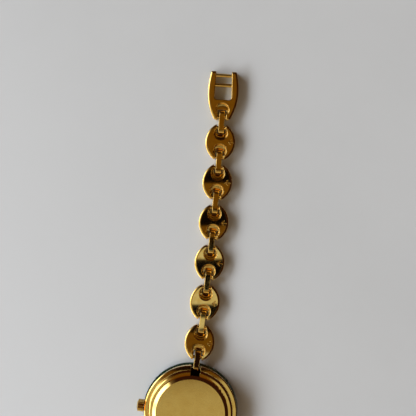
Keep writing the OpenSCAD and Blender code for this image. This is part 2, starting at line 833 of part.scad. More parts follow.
module minute_wheel() {
    pinion_t = cannon_z - hour_wheel_z + wheel_t / 2;
    color(brass) translate(minute_axis) {
        translate([0, 0, cannon_z])
            gear(minute_teeth, motion_module, wheel_t, motion_dir + 180, true);
        translate([0, 0, hour_wheel_z])
            gear(minute_pinion_teeth, motion_module, pinion_t, motion_dir + 180, false);
        upright(staff_r, hour_wheel_z, pocket_z + stud_l);
    }
}

module hour_wheel() {
    color(brass) difference() {
        union() {
            translate([0, 0, hour_wheel_z]) gear(hour_teeth, motion_module, wheel_t, motion_dir, true);
            upright(hour_pipe_r, hour_hand_z, hour_wheel_z + wheel_t);
        }
        upright(arbor_r + run, hour_hand_z - past, hour_wheel_z + wheel_t + past);
    }
}

// Staff between the main plate and the bridge, with a pivot in each
module train_staff() {
    upright(staff_r, plate_top + shoulder_gap, bridge_z - shoulder_gap);
    upright(pivot_r, plate_top - pivot_l, bridge_z + pivot_l);
}

module third_wheel() {
    pinion_z = centre_wheel_z - shoulder_gap / 2;
    color(brass) translate(third_axis) {
        translate([0, 0, third_wheel_z]) gear(third_teeth, rotor_module, wheel_t, rotor_dir, false);
        translate([0, 0, pinion_z])
            gear(leaf_teeth, train_module, third_wheel_z - pinion_z, train_dir + 180, true);
        train_staff();
    }
}

module rotor() {
    magnet_z = plate_top + 2 * shoulder_gap;
    pinion_z = third_wheel_z - wheel_t / 2;
    color([0.35, 0.36, 0.38]) translate(rotor_axis) {
        translate([0, 0, pinion_z]) gear(leaf_teeth, rotor_module, 2 * wheel_t, rotor_dir + 180, true);
        upright(magnet_r, magnet_z, magnet_z + magnet_t);
        train_staff();
    }
}

module main_plate() {
    pocket_h = pocket_depth + past;
    color(brass) difference() {
        translate([0, 0, plate_z]) cylinder(r = movement_r, h = plate_t, $fn = 96);
        // Pocket for the motion work
        translate([0, 0, plate_z - past])
            cylinder(r = hour_teeth * motion_module / 2 + pocket_gap, h = pocket_h);
        translate([minute_axis[0], minute_axis[1], plate_z - past])
            cylinder(r = minute_teeth * motion_module / 2 + pocket_gap, h = pocket_h);
        // Centre hole and the bearings
        upright(arbor_r + run, plate_z - past, plate_top + past);
        translate(minute_axis) upright(staff_r + run, plate_z, pocket_z + stud_l + run);
        for (a = [third_axis, rotor_axis])
            translate(a) upright(pivot_r + run, plate_top - pivot_l - run, plate_top + past);
        // Battery well
        translate([battery_axis[0], battery_axis[1], plate_z + floor_t])
            cylinder(d = battery_d + 2 * battery_gap, h = plate_t, $fn = 96);
        // Stem channel with the window for the sliding pinion
        translate([-movement_r - past, -stem_d / 2 - run, stem_axis_z - stem_d / 2 - run])
            cube([movement_r + past - clutch_at + clutch_l, stem_d + 2 * run, plate_t + past]);
        translate([-clutch_at - clutch_l / 2 - clutch_room, -clutch_d / 2 - run, plate_z - past])
            cube([clutch_l + 2 * clutch_room, clutch_d + 2 * run, plate_t + 2 * past]);
        for (p = concat(bridge_posts, clamp_posts, [lever_post]))
            translate(p) upright(screw_r + snug, plate_z + floor_t, plate_top + past);
    }
}

// Straight arm between two points, seen from above
module arm(p, q, w) {
    run_x = q[0] - p[0];
    run_y = q[1] - p[1];
    length = sqrt(run_x * run_x + run_y * run_y);
    translate(p) rotate([0, 0, atan2(run_y, run_x)]) translate([0, -w / 2]) square([length, w]);
    translate(p) circle(d = w);
    translate(q) circle(d = w);
}

// Bridge with an arm to each of its posts and bearings
module train_bridge() {
    color([0.8, 0.8, 0.82]) difference() {
        union() {
            translate([0, 0, bridge_z]) linear_extrude(bridge_t) {
                for (p = bridge_posts) arm([0, 0], p, bridge_arm_w);
                arm([0, 0], third_axis, bridge_arm_w);
                arm([0, 0], rotor_axis, bridge_arm_w);
            }
            for (p = bridge_posts) translate(p) upright(post_w / 2, plate_top, bridge_z + bridge_t / 2);
        }
        upright(staff_r + run, bridge_z - past, bridge_top + past);
        for (a = [third_axis, rotor_axis])
            translate(a) upright(pivot_r + run, bridge_z - past, bridge_top + past);
        for (p = bridge_posts) translate(p) upright(screw_r + snug, plate_top - past, bridge_top + past);
    }
}

// Screw standing on a height, reaching down into the main plate, with a slot across its head
module small_screw(at, seat_z) {
    translate(at) difference() {
        union() {
            upright(screw_head_d / 2, seat_z, seat_z + screw_head_h);
            upright(screw_r, plate_top - screw_grip, seat_z + screw_head_h / 2);
        }
        translate([-screw_head_d, -screw_slot / 2, seat_z + screw_head_h / 2])
            cube([2 * screw_head_d, screw_slot, screw_head_h]);
    }
}

module bridge_screws() {
    color([0.45, 0.5, 0.62]) {
        for (p = bridge_posts) small_screw(p, bridge_top);
        for (p = clamp_posts) small_screw(p, clamp_z + clamp_t);
        small_screw(lever_post, setting_z + setting_t);
    }
}

module battery() {
    r = battery_d / 2;
    step_r = 0.8 * r;
    step_h = 0.12 * battery_t;
    ease = step_h / 2;
    color(steel) translate([battery_axis[0], battery_axis[1], battery_z])
        rotate_extrude($fn = 96) polygon([
            [0, 0], [step_r, 0], [step_r, step_h], [r - ease, step_h], [r, step_h + ease],
            [r, battery_t - ease], [r - ease, battery_t], [0, battery_t]
        ]);
}

// Spring strip that lies across the battery, on two posts
module battery_clamp() {
    color([0.8, 0.7, 0.45]) difference() {
        union() {
            translate([0, 0, clamp_z]) linear_extrude(clamp_t) arm(clamp_posts[0], clamp_posts[1], clamp_w);
            for (p = clamp_posts) translate(p) upright(post_w / 2, plate_top, clamp_z + clamp_t / 2);
        }
        for (p = clamp_posts)
            translate(p) upright(screw_r + snug, plate_top - past, clamp_z + clamp_t + past);
    }
}

module circuit_board() {
    color([0.1, 0.35, 0.2]) translate([0, 0, board_z]) linear_extrude(board_t) difference() {
        intersection() {
            circle(r = movement_r - board_edge, $fn = 96);
            translate([-movement_r, -movement_r]) square([movement_r + board_right, movement_r + board_top]);
        }
        translate(battery_axis) circle(d = battery_d + 4 * battery_gap, $fn = 96);
        for (p = clamp_posts) translate(p) circle(d = post_w + 4 * battery_gap);
    }
    color([0.08, 0.08, 0.09]) translate([chip_at[0], chip_at[1], board_z + board_t]) cube(chip_size);
    color(steel) for (p = board_posts) translate(p) upright(post_w / 3, plate_top, board_z + board_t / 2);
}

// Winding with its end flanges on a flat core that lies across the stator's arms
module coil() {
    color([0.72, 0.36, 0.16]) translate([rotor_axis[0], coil_y, coil_z]) {
        cross_bar(coil_d, coil_l);
        for (side = [-1, 1]) translate([side * coil_l / 2, 0, 0]) cross_bar(coil_d + flange_w, 2 * flange_w);
        cube([2 * arm_reach, core_w, core_t], center = true);
    }
}

// Plate with the rotor's hole and two arms that reach back to the coil
module stator() {
    pole_y = rotor_axis[1];
    color([0.6, 0.6, 0.62]) translate([rotor_axis[0], 0, stator_z]) difference() {
        union() {
            translate([-pole_w / 2, pole_y - pole_l / 2, 0]) cube([pole_w, pole_l, core_t]);
            translate([-arm_reach, pole_y - core_w / 2, 0]) cube([2 * arm_reach, core_w, core_t]);
            for (side = [-1, 1])
                translate([side * (arm_reach - core_w / 2) - core_w / 2, pole_y - core_w / 2, 0])
                    cube([core_w, coil_y - pole_y + core_w, core_t]);
        }
        translate([0, pole_y, 0]) upright(magnet_r + rotor_gap, -past, core_t + past);
    }
}

module movement_ring() {
    color([0.85, 0.85, 0.82]) difference() {
        translate([0, 0, plate_z]) cylinder(r = bore_r - ring_gap, h = ring_top - plate_z, $fn = 96);
        translate([0, 0, plate_z - past]) cylinder(r = movement_r + ring_gap / 2, h = ring_top, $fn = 96);
        translate([0, 0, stem_axis_z]) rotate([0, -90, 0])
            cylinder(d = stem_d + 2 * loose, h = bore_r + past);
    }
}

module crown_tube() {
    wall = case_r - bore_r;
    color(steel) translate([-bore_r, 0, stem_axis_z]) rotate([0, -90, 0]) difference() {
        cylinder(d = tube_d - snug, h = wall);
        translate([0, 0, -past]) cylinder(d = stem_d + 2 * run, h = wall + 2 * past);
    }
}

module crown() {
    flute_cut = 3 * flute_depth;
    color(gold) translate([crown_face_x, 0, stem_axis_z]) rotate([0, -90, 0]) difference() {
        union() {
            cylinder(d = crown_d, h = crown_l);
            translate([0, 0, crown_l])
                cylinder(d1 = crown_d - crown_dome, d2 = crown_d - 5 * crown_dome, h = crown_dome);
        }
        for (i = [0:crown_flutes - 1]) rotate([0, 0, i * 360 / crown_flutes])
            translate([crown_d / 2 - flute_depth, 0, -past])
                rotate([0, 0, -45]) cube([flute_cut, flute_cut, crown_l + crown_dome + 2 * past]);
        translate([0, 0, -past]) cylinder(d = stem_d + snug, h = crown_grip + past);
    }
}

module stem() {
    root_x = crown_face_x - crown_grip + snug;
    square_x = -clutch_at - clutch_l / 2 - crown_travel - clutch_room;
    tip_x = -clutch_at + clutch_l / 2 + clutch_room;
    color(steel) translate([0, 0, stem_axis_z]) rotate([0, 90, 0]) {
        difference() {
            translate([0, 0, root_x]) cylinder(d = stem_d, h = square_x - root_x);
            translate([0, 0, -lever_at - groove_w / 2]) difference() {
                cylinder(d = 2 * stem_d, h = groove_w);
                cylinder(d = groove_d, h = groove_w);
            }
        }
        translate([-stem_square / 2, -stem_square / 2, square_x - snug])
            cube([stem_square, stem_square, tip_x - square_x + snug]);
    }
}

module sliding_pinion() {
    bore_w = stem_square + 2 * run;
    tooth_module = clutch_d / (clutch_teeth + 2 * addendum);
    color(steel) translate([-clutch_at - clutch_l / 2, 0, stem_axis_z]) rotate([0, 90, 0]) difference() {
        union() {
            cylinder(r = tooth_module * (clutch_teeth / 2 - dedendum), h = clutch_l);
            gear(clutch_teeth, tooth_module, clutch_l * 0.4, 0, false);
        }
        translate([-bore_w / 2, -bore_w / 2, -past]) cube([bore_w, bore_w, clutch_l + 2 * past]);
    }
}

// Flat lever on a screw, with a pin that reaches down into the stem's groove
module setting_lever() {
    color(steel) difference() {
        union() {
            translate([0, 0, setting_z]) linear_extrude(setting_t) {
                arm(lever_post, [-lever_at, 0], setting_w);
                translate(lever_post) circle(d = screw_head_d + pipe_t);
            }
            translate([-lever_at, 0, 0])
                upright(lever_pin_r, stem_axis_z + groove_d / 2 + run, setting_z + setting_t / 2);
        }
        translate(lever_post) upright(screw_r + run, setting_z - past, setting_z + setting_t + past);
    }
}

case_middle();
case_back();
back_gasket();
bezel_ring();
crystal();
crystal_gasket();
dial();
hour_hand();
minute_hand();
movement_ring();
main_plate();
train_bridge();
bridge_screws();
circuit_board();
coil();
stator();
rotor();
third_wheel();
centre_wheel();
minute_wheel();
hour_wheel();
battery();
battery_clamp();
crown_tube();
crown();
stem();
sliding_pinion();
setting_lever();
end_bars();
lay_on_a(0) case_connector();  // connector_a1
lay_on_a(2) plain_connector();  // connector_a2
lay_on_a(4) plain_connector();  // connector_a3
lay_on_a(6) plain_connector();  // connector_a4
lay_on_a(8) plain_connector();  // connector_a5
lay_on_a(10) plain_connector();  // connector_a6
lay_on_a(12) plain_connector();  // connector_a7
lay_on_a(1) link();  // link_a1
lay_on_a(3) link();  // link_a2
lay_on_a(5) link();  // link_a3
lay_on_a(7) link();  // link_a4
lay_on_a(9) link();  // link_a5
lay_on_a(11) link();  // link_a6
ladder_frame();
ladder_bars();
lay_on_b(0) case_connector();  // connector_b1
lay_on_b(2) plain_connector();  // connector_b2
lay_on_b(4) plain_connector();  // connector_b3
lay_on_b(6) plain_connector();  // connector_b4
lay_on_b(8) plain_connector();  // connector_b5
lay_on_b(10) plain_connector();  // connector_b6
lay_on_b(12) plain_connector();  // connector_b7
lay_on_b(1) link();  // link_b1
lay_on_b(3) link();  // link_b2
lay_on_b(5) link();  // link_b3
lay_on_b(7) link();  // link_b4
lay_on_b(9) link();  // link_b5
lay_on_b(11) link();  // link_b6
clasp_frame();
clasp_pin();
clasp_lever();
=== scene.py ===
import math

import bpy
import numpy as np
from mathutils import Matrix, Vector
from mathutils.geometry import delaunay_2d_cdt


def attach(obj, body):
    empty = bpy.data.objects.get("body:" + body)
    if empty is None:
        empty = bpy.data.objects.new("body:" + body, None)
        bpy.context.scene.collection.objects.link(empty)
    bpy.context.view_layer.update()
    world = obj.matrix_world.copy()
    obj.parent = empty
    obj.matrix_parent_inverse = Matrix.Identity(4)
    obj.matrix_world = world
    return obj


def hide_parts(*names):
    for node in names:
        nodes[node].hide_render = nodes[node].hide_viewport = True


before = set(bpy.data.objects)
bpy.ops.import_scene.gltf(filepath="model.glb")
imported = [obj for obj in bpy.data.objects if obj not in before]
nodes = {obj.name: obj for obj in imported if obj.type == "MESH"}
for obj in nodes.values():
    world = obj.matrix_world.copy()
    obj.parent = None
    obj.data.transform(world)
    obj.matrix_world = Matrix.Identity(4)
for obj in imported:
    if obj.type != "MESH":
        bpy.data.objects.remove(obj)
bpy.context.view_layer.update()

MM = 0.001


class Graph:
    """Short calls for building a node tree."""

    def __init__(self, tree, clear=True):
        self.tree = tree
        if clear:
            self.tree.nodes.clear()

    def node(self, kind, links=(), **values):
        made = self.tree.nodes.new(kind)
        for name, value in values.items():
            setattr(made, name, value)
        for socket, value in dict(links).items():
            self.put(made, socket, value)
        return made

    def put(self, made, socket, value):
        """Links a socket, or sets its plain value."""
        if isinstance(value, bpy.types.NodeSocket):
            self.tree.links.new(value, made.inputs[socket])
        else:
            made.inputs[socket].default_value = value

    def find(self, kind):
        return next(n for n in self.tree.nodes if n.bl_idname == kind)

    def math(self, operation, a, b=0.0):
        return self.node("ShaderNodeMath", {0: a, 1: b}, operation=operation).outputs[0]

    def vector(self, operation, a, b):
        made = self.node("ShaderNodeVectorMath", {0: a, 1: b}, operation=operation)
        return made.outputs["Value" if operation == "DOT_PRODUCT" else "Vector"]

    def split(self, where):
        return self.node("ShaderNodeSeparateXYZ", {0: where}).outputs

    def length(self, a, b):
        """Length of a flat vector."""
        return self.math("SQRT", self.math("ADD", self.math("MULTIPLY", a, a), self.math("MULTIPLY", b, b)))

    def highest(self, values):
        most = values[0]
        for value in values[1:]:
            most = self.math("MAXIMUM", most, value)
        return most

    def ramp(self, factor, low, high, to_low=0.0, to_high=1.0):
        """Smooth step from one value to another."""
        made = self.node("ShaderNodeMapRange",
                         {"Value": factor, "From Min": low, "From Max": high,
                          "To Min": to_low, "To Max": to_high},
                         interpolation_type="SMOOTHSTEP")
        return made.outputs[0]

    def band(self, value, centre, half, edge):
        """1 within half of a centre, falling to 0 over an edge."""
        off = self.math("ABSOLUTE", self.math("SUBTRACT", value, centre))
        return self.ramp(off, half - edge, half + edge, 1.0, 0.0)

    def mix(self, factor, a, b):
        made = self.node("ShaderNodeMix", data_type="RGBA")
        self.put(made, 0, factor)
        self.put(made, 6, a)
        self.put(made, 7, b)
        return made.outputs[2]

    def noise(self, where, scale, detail, rough=0.5):
        made = self.node("ShaderNodeTexNoise",
                         {"Vector": where, "Scale": scale, "Detail": detail, "Roughness": rough})
        return made.outputs["Fac"]


def rgb(r, g, b):
    return (r, g, b, 1.0)


def new_material(name):
    material = bpy.data.materials.new(name)
    material.use_nodes = True
    return material, Graph(material.node_tree)


def in_mm(g):
    """Object coordinates in millimetres."""
    where = g.node("ShaderNodeTexCoord").outputs["Object"]
    return g.node("ShaderNodeMapping", {"Vector": where, "Scale": (1000, 1000, 1000)}).outputs[0]


def scratches(g, where, factor, angle, low, high):
    """Fine lines along one direction: noise drawn out along it."""
    drawn = g.node("ShaderNodeMapping", {"Vector": where, "Rotation": (0, 0, angle), "Scale": factor})
    return g.ramp(g.noise(drawn.outputs[0], 1.0, 1.0), low, high)


def finish_shader(g, bump_height=None, bump_distance=0.0, bump_strength=0.0, **sockets):
    """Principled shader and output. Bump distance is in metres."""
    shader = g.node("ShaderNodeBsdfPrincipled")
    for name, value in sockets.items():
        g.put(shader, name.replace("_", " "), value)
    if bump_height is not None:
        bump = g.node("ShaderNodeBump",
                      {"Height": bump_height, "Strength": bump_strength, "Distance": bump_distance})
        g.put(shader, "Normal", bump.outputs[0])
    out = g.node("ShaderNodeOutputMaterial")
    g.put(out, 0, shader.outputs[0])
    return shader


def pass_light(g, shader, also=None):
    """Lets light from the lamps through a surface, and whatever else is asked for."""
    passes = g.node("ShaderNodeLightPath").outputs["Is Shadow Ray"]
    if also is not None:
        passes = g.math("MAXIMUM", passes, also)
    choose = g.node("ShaderNodeMixShader")
    g.put(choose, 0, passes)
    g.put(choose, 1, shader.outputs[0])
    g.put(choose, 2, g.node("ShaderNodeBsdfTransparent").outputs[0])
    g.put(g.find("ShaderNodeOutputMaterial"), 0, choose.outputs[0])


# Materials. Noise scales are per millimetre.
FINE_SCALE = 9.0  # fine wear on all metal
NAME_SHIFT = 90.0  # how far each piece's own noise is moved, in mm
BUMP = 0.00002  # bump distance of metal and lacquer, in m


def metal(name, light, dark, rough, wear=0.3, scratch=0.4):
    """Polished or plated metal: cloudy tone, hairline scratches and a faint uneven surface."""
    material, g = new_material(name)
    own = g.math("MULTIPLY", g.node("ShaderNodeObjectInfo").outputs["Random"], NAME_SHIFT)
    where = g.vector("ADD", in_mm(g), g.node("ShaderNodeCombineXYZ", {0: own}).outputs[0])
    cloud = g.noise(where, 0.6, 4.0, 0.55)
    fine = g.noise(where, FINE_SCALE, 3.0, 0.6)
    lines = g.highest([scratches(g, where, (14, 0.5, 1), 0.5, 0.68, 0.8),
                       scratches(g, where, (18, 0.6, 1), -0.9, 0.7, 0.82)])
    tone = g.mix(g.ramp(cloud, 0.35, 0.7), light, dark)
    tone = g.mix(g.math("MULTIPLY", g.ramp(fine, 0.6, 0.85), 0.3), tone, dark)
    roughness = g.math("ADD", g.math("MULTIPLY", lines, scratch * 0.25), rough)
    roughness = g.math("ADD", g.math("MULTIPLY", g.ramp(fine, 0.5, 0.8), wear * 0.1), roughness)
    height = g.math("SUBTRACT", g.math("MULTIPLY", cloud, 0.05), g.math("MULTIPLY", lines, 0.1))
    finish_shader(g, height, BUMP, 0.25, Base_Color=tone, Metallic=1.0, Roughness=roughness)
    return material


def painted(name, light, dark, rough, coat=0.0):
    """Lacquer, plastic or rubber: mottled colour with a fine grain."""
    material, g = new_material(name)
    where = in_mm(g)
    cloud = g.noise(where, 0.9, 4.0, 0.6)
    fine = g.noise(where, 18.0, 3.0, 0.6)
    tone = g.mix(g.ramp(cloud, 0.3, 0.75), light, dark)
    roughness = g.ramp(fine, 0.3, 0.8, rough * 0.85, rough * 1.2)
    finish_shader(g, fine, BUMP, 0.1, Base_Color=tone, Roughness=roughness, Coat_Weight=coat)
    return material


def wound(name, light, dark, pitch):
    """Enamelled wire wound round an axis along X, with one turn each pitch, in millimetres, and painted shade
    darkening the grooves between turns.
    """
    material, g = new_material(name)
    where = in_mm(g)
    turns = g.math("ABSOLUTE", g.math("SINE", g.math("MULTIPLY", g.split(where)["X"], math.pi / pitch)))
    cloud = g.noise(where, 2.0, 3.0, 0.6)
    tone = g.mix(g.ramp(cloud, 0.35, 0.7), light, dark)
    # Painted shade: darker colour in the grooves between turns
    tone = g.mix(g.ramp(turns, 0.0, 0.5, 0.7, 0.0), tone, dark)
    finish_shader(g, turns, 0.00003, 0.8, Base_Color=tone, Metallic=1.0,
                  Roughness=g.ramp(cloud, 0.3, 0.8, 0.22, 0.34))
    return material


def crystal_glass():
    """Clear mineral glass with faint smears."""
    material, g = new_material("crystal")
    smear = g.noise(in_mm(g), 0.5, 4.0, 0.6)
    clear = finish_shader(g, smear, 0.00001, 0.05, Base_Color=rgb(0.97, 1.0, 0.99),
                          Transmission_Weight=1.0, IOR=1.5, Roughness=g.ramp(smear, 0.4, 0.75, 0.0, 0.03))
    pass_light(g, clear)
    return material


GOLD_LIGHT, GOLD_DARK = rgb(0.93, 0.64, 0.2), rgb(0.84, 0.53, 0.13)
POLISH = {"rough": 0.022, "wear": 0.06, "scratch": 0.15}
# Painted shade: near-black brown colour for the inside of the slots
SLOT_SHADE = rgb(0.02, 0.012, 0.006)


def case_back_metal(flat_r):
    """Gold plate with a lightly brushed and cloudy disc inside a mirror rim."""
    material, g = new_material("case_back_plate")
    where = in_mm(g)
    flat = g.split(where)
    disc = g.ramp(g.length(flat["X"], flat["Y"]), flat_r - 0.05, flat_r, 1.0, 0.0)
    cloud = g.noise(where, 0.35, 4.0, 0.5)
    fine = g.noise(where, FINE_SCALE, 3.0, 0.6)
    lines = scratches(g, where, (16, 0.4, 1), 0.3, 0.62, 0.8)
    tone = g.mix(g.math("MULTIPLY", g.ramp(cloud, 0.3, 0.75), 0.5), GOLD_LIGHT, GOLD_DARK)
    roughness = g.math("ADD", g.math("MULTIPLY", disc, 0.06), 0.03)
    brushed = g.math("MULTIPLY", g.ramp(fine, 0.4, 0.7), disc)
    roughness = g.math("ADD", g.math("MULTIPLY", brushed, 0.06), roughness)
    roughness = g.math("ADD", g.math("MULTIPLY", lines, 0.05), roughness)
    height = g.math("ADD", g.math("MULTIPLY", cloud, 0.06), g.math("MULTIPLY", fine, 0.02))
    finish_shader(g, height, BUMP, 0.3, Base_Color=tone, Metallic=1.0, Roughness=roughness)
    return material


def case_metal(slot_half, slot_y, top_z):
    """Gold plate with painted shade inside the two slots: dark in colour and dull there."""
    material = metal("case_plate", GOLD_LIGHT, GOLD_DARK, **POLISH)
    g = Graph(material.node_tree, clear=False)
    where = g.split(in_mm(g))
    aside, along = (g.math("ABSOLUTE", where[axis]) for axis in "XY")
    # Painted shade: mask of the slot recesses below the top, where the colour turns dark
    inside = g.math("MULTIPLY", g.ramp(aside, slot_half, slot_half + 0.03, 1.0, 0.0),
                    g.ramp(along, slot_y - 0.03, slot_y, 0.0, 1.0))
    inside = g.math("MULTIPLY", inside, g.ramp(where["Z"], top_z - 0.5, top_z - 0.1, 1.0, 0.0))
    shader = g.find("ShaderNodeBsdfPrincipled")
    tone = shader.inputs["Base Color"].links[0].from_socket
    rough = shader.inputs["Roughness"].links[0].from_socket
    g.put(shader, "Base Color", g.mix(inside, tone, SLOT_SHADE))
    g.put(shader, "Roughness", g.math("ADD", rough, g.math("MULTIPLY", inside, 0.4)))
    return material


# Light tone, dark tone and roughness
METALS = {
    "hand_gilt": (GOLD_LIGHT, GOLD_DARK, 0.12),
    "plate_brass": (rgb(0.78, 0.58, 0.26), rgb(0.66, 0.47, 0.2), 0.3),
    "bridge_nickel": (rgb(0.72, 0.72, 0.71), rgb(0.6, 0.6, 0.6), 0.24),
    "screw_steel": (rgb(0.42, 0.45, 0.55), rgb(0.33, 0.36, 0.45), 0.15),
    "stator_iron": (rgb(0.5, 0.5, 0.52), rgb(0.4, 0.4, 0.42), 0.35),
    "rotor_magnet": (rgb(0.2, 0.2, 0.22), rgb(0.14, 0.14, 0.15), 0.45),
    "wheel_brass": (rgb(0.8, 0.6, 0.27), rgb(0.68, 0.5, 0.2), 0.2),
    "cell_steel": (rgb(0.68, 0.68, 0.7), rgb(0.58, 0.58, 0.6), 0.16),
    "clamp_bronze": (rgb(0.72, 0.5, 0.24), rgb(0.6, 0.4, 0.18), 0.24),
    "stem_steel": (rgb(0.62, 0.63, 0.65), rgb(0.5, 0.51, 0.53), 0.2),
}
# Light tone, dark tone, roughness and coat
PAINTS = {
    "bezel_lacquer": (rgb(0.01, 0.045, 0.035), rgb(0.006, 0.03, 0.026), 0.12, 0.8),
    "seal_rubber": (rgb(0.02, 0.02, 0.02), rgb(0.03, 0.03, 0.03), 0.6),
    "dial_lacquer": (rgb(0.86, 0.82, 0.7), rgb(0.8, 0.75, 0.62), 0.35, 0.3),
    "holder_plastic": (rgb(0.7, 0.69, 0.64), rgb(0.62, 0.6, 0.55), 0.45),
    "board_laminate": (rgb(0.02, 0.16, 0.07), rgb(0.015, 0.12, 0.05), 0.35, 0.3),
}
mats = {name: metal(name, *look) for name, look in METALS.items()}
mats.update({name: painted(name, *look) for name, look in PAINTS.items()})
mats["gold_plate"] = metal("gold_plate", GOLD_LIGHT, GOLD_DARK, **POLISH)
mats["coil_copper"] = wound("coil_copper", rgb(0.8, 0.36, 0.17), rgb(0.45, 0.17, 0.07), 0.09)
mats["crystal"] = crystal_glass()

BACK_FLAT_R = 9.4

for node in nodes.values():
    for place in node.material_slots:
        slot_name = place.material.name.split(".")[0]
        place.material = mats.get(slot_name, mats["gold_plate"])
nodes["case_back"].material_slots[0].material = case_back_metal(BACK_FLAT_R)


# Depth fields, in millimetres. A depth is positive inside its outline.


def circle_in(p, x, y, r):
    return r - np.hypot(p[..., 0] - x, p[..., 1] - y)


def soft_min(a, b, k):
    """The smaller of two fields, rounded over k where they meet."""
    h = np.clip(0.5 + 0.5 * (b - a) / k, 0, 1)
    return b * (1 - h) + a * h - k * h * (1 - h)


def soft_max(a, b, k):
    return -soft_min(-a, -b, k)


def roll(depth, width, drop, lead=0.0):
    """How far a rounded edge lies below the face. Lead is the share of it that is a plain bevel."""
    s = np.clip(1 - depth / width, 0, 1)
    return drop * (lead * s + (1 - lead) * (1 - np.sqrt(np.maximum(1 - s * s, 0))))


def gradient(field, p, e=0.001):
    dx, dy = np.array([e, 0]), np.array([0, e])
    return np.stack([field(p + dx) - field(p - dx), field(p + dy) - field(p - dy)], -1) / (2 * e)


def levels(field, values):
    """Fields that are zero where the given one has each value."""
    return [lambda p, value=value: field(p) - value for value in values]


# Contour lines: spacing of the grid, its shift off straight outlines, how far a thinned line may
# leave its points, and the longest edge and most points that it may pass over
GRID_STEP = 0.07
GRID_SHIFT = (0.000137, 0.000229)
LINE_SLACK, LINE_LONGEST, LINE_SKIP = 0.003, 0.45, 60


def contours(field, low, high):
    """Lines where a field crosses zero, as lists of points, and whether each is closed."""
    xs, ys = (np.arange(low[i], high[i] + GRID_STEP, GRID_STEP) + GRID_SHIFT[i] for i in (0, 1))
    grid = field(np.stack(np.meshgrid(xs, ys, indexing="ij"), -1))
    inside = grid < 0
    points, links = {}, {}

    def crossing(i, j, k, l):
        key = (i, j, k, l)
        if key not in points:
            s = grid[i, j] / (grid[i, j] - grid[k, l])
            points[key] = np.array([xs[i] + s * (xs[k] - xs[i]), ys[j] + s * (ys[l] - ys[j])])
        return key

    mixed = inside[:-1, :-1].astype(int) + inside[1:, :-1] + inside[:-1, 1:] + inside[1:, 1:]
    for i, j in zip(*np.nonzero((mixed > 0) & (mixed < 4))):
        sides = (((i, j), (i + 1, j)), ((i + 1, j), (i + 1, j + 1)),
                 ((i, j + 1), (i + 1, j + 1)), ((i, j), (i, j + 1)))
        cut = [crossing(*a, *b) for a, b in sides if inside[a] != inside[b]]
        for a, b in zip(cut[::2], cut[1::2]):
            links.setdefault(a, []).append(b)
            links.setdefault(b, []).append(a)
    lines, used = [], set()
    for first in sorted(links, key=lambda key: (len(links[key]), key)):
        if first in used:
            continue
        line, here = [first], first
        used.add(first)
        while True:
            ahead = [key for key in links[here] if key not in used]
            if not ahead:
                break
            here = ahead[0]
            used.add(here)
            line.append(here)
        closed = len(line) > 2 and first in links[here]
        lines.append((refined(field, np.array([points[key] for key in line])), closed))
    return lines


def refined(field, line):
    """Moves points onto the zero line of a field."""
    for _ in range(3):
        slope = gradient(field, line)
        size = np.maximum((slope ** 2).sum(1), 0.05)
        line = line - slope * (field(line) / size)[:, None]
    return line


def thinned(line, closed):
    """Fewer points along a line."""
    if closed:
        line = np.vstack([line, line[:1]])
    keep, i = [0], 0
    while i < len(line) - 1:
        best = i + 1
        for j in range(i + 2, min(i + LINE_SKIP, len(line))):
            d = line[j] - line[i]
            size = np.hypot(*d)
            mid = line[i + 1:j] - line[i]
            off = np.abs(mid[:, 0] * d[1] - mid[:, 1] * d[0]) / max(size, 1e-9)
            if size > LINE_LONGEST or off.max() > LINE_SLACK:
                break
            best = j
        keep.append(best)
        i = best
    return line[keep[:-1]] if closed else line[keep]


# Plates: how far a guide's points keep from the outline, how far the loose points keep from the
# outline and from the guides, and the shift of their grid
RIM_GAP, LOOSE_RIM_GAP, LOOSE_GUIDE_GAP = 0.012, 0.3, 0.2
LOOSE_SHIFT = np.array([0.0113, 0.0171])


def plate(region, top, guides, low, high, bottom=None, filler=0.8):
    """Solid between two height fields, over a region that is negative inside.

    Its faces follow the zero lines of the guides, with loose points between them, a filler apart.
    It comes as vertices, polygons and normals."""
    points, edges = [], []
    for line, closed in contours(region, low, high):
        line = thinned(line, closed)
        base, n = len(points), len(line)
        points.extend(line)
        edges.extend((base + i, base + (i + 1) % n) for i in range(n if closed else n - 1))
    rim_count = len(points)
    for guide in guides:
        for line, closed in contours(guide, low, high):
            line = thinned(line, closed)
            kept = region(line) < -RIM_GAP
            for i in np.nonzero(kept)[0]:
                points.append(line[i])
                if i + 1 < len(line) and kept[i + 1]:
                    edges.append((len(points) - 1, len(points)))
    for x in np.arange(low[0], high[0], filler):
        for y in np.arange(low[1], high[1], filler):
            p = np.array([x, y]) + LOOSE_SHIFT
            if region(p) < -LOOSE_RIM_GAP and all(abs(guide(p)) > LOOSE_GUIDE_GAP for guide in guides):
                points.append(p)
    corners, _, triangles, origins = delaunay_2d_cdt([Vector(p) for p in points], edges, [], 0, 1e-5)[:4]
    flat = np.array([tuple(v) for v in corners])
    on_rim = np.array([any(i < rim_count for i in origin) for origin in origins])
    faces = [f for f in triangles if region(flat[list(f)].mean(0)) < 0]
    used = sorted({i for f in faces for i in f})
    index = {old: new for new, old in enumerate(used)}
    faces = [tuple(index[i] for i in f) for f in faces]
    return solid_from(flat[used], on_rim[used], faces, region, top, bottom)


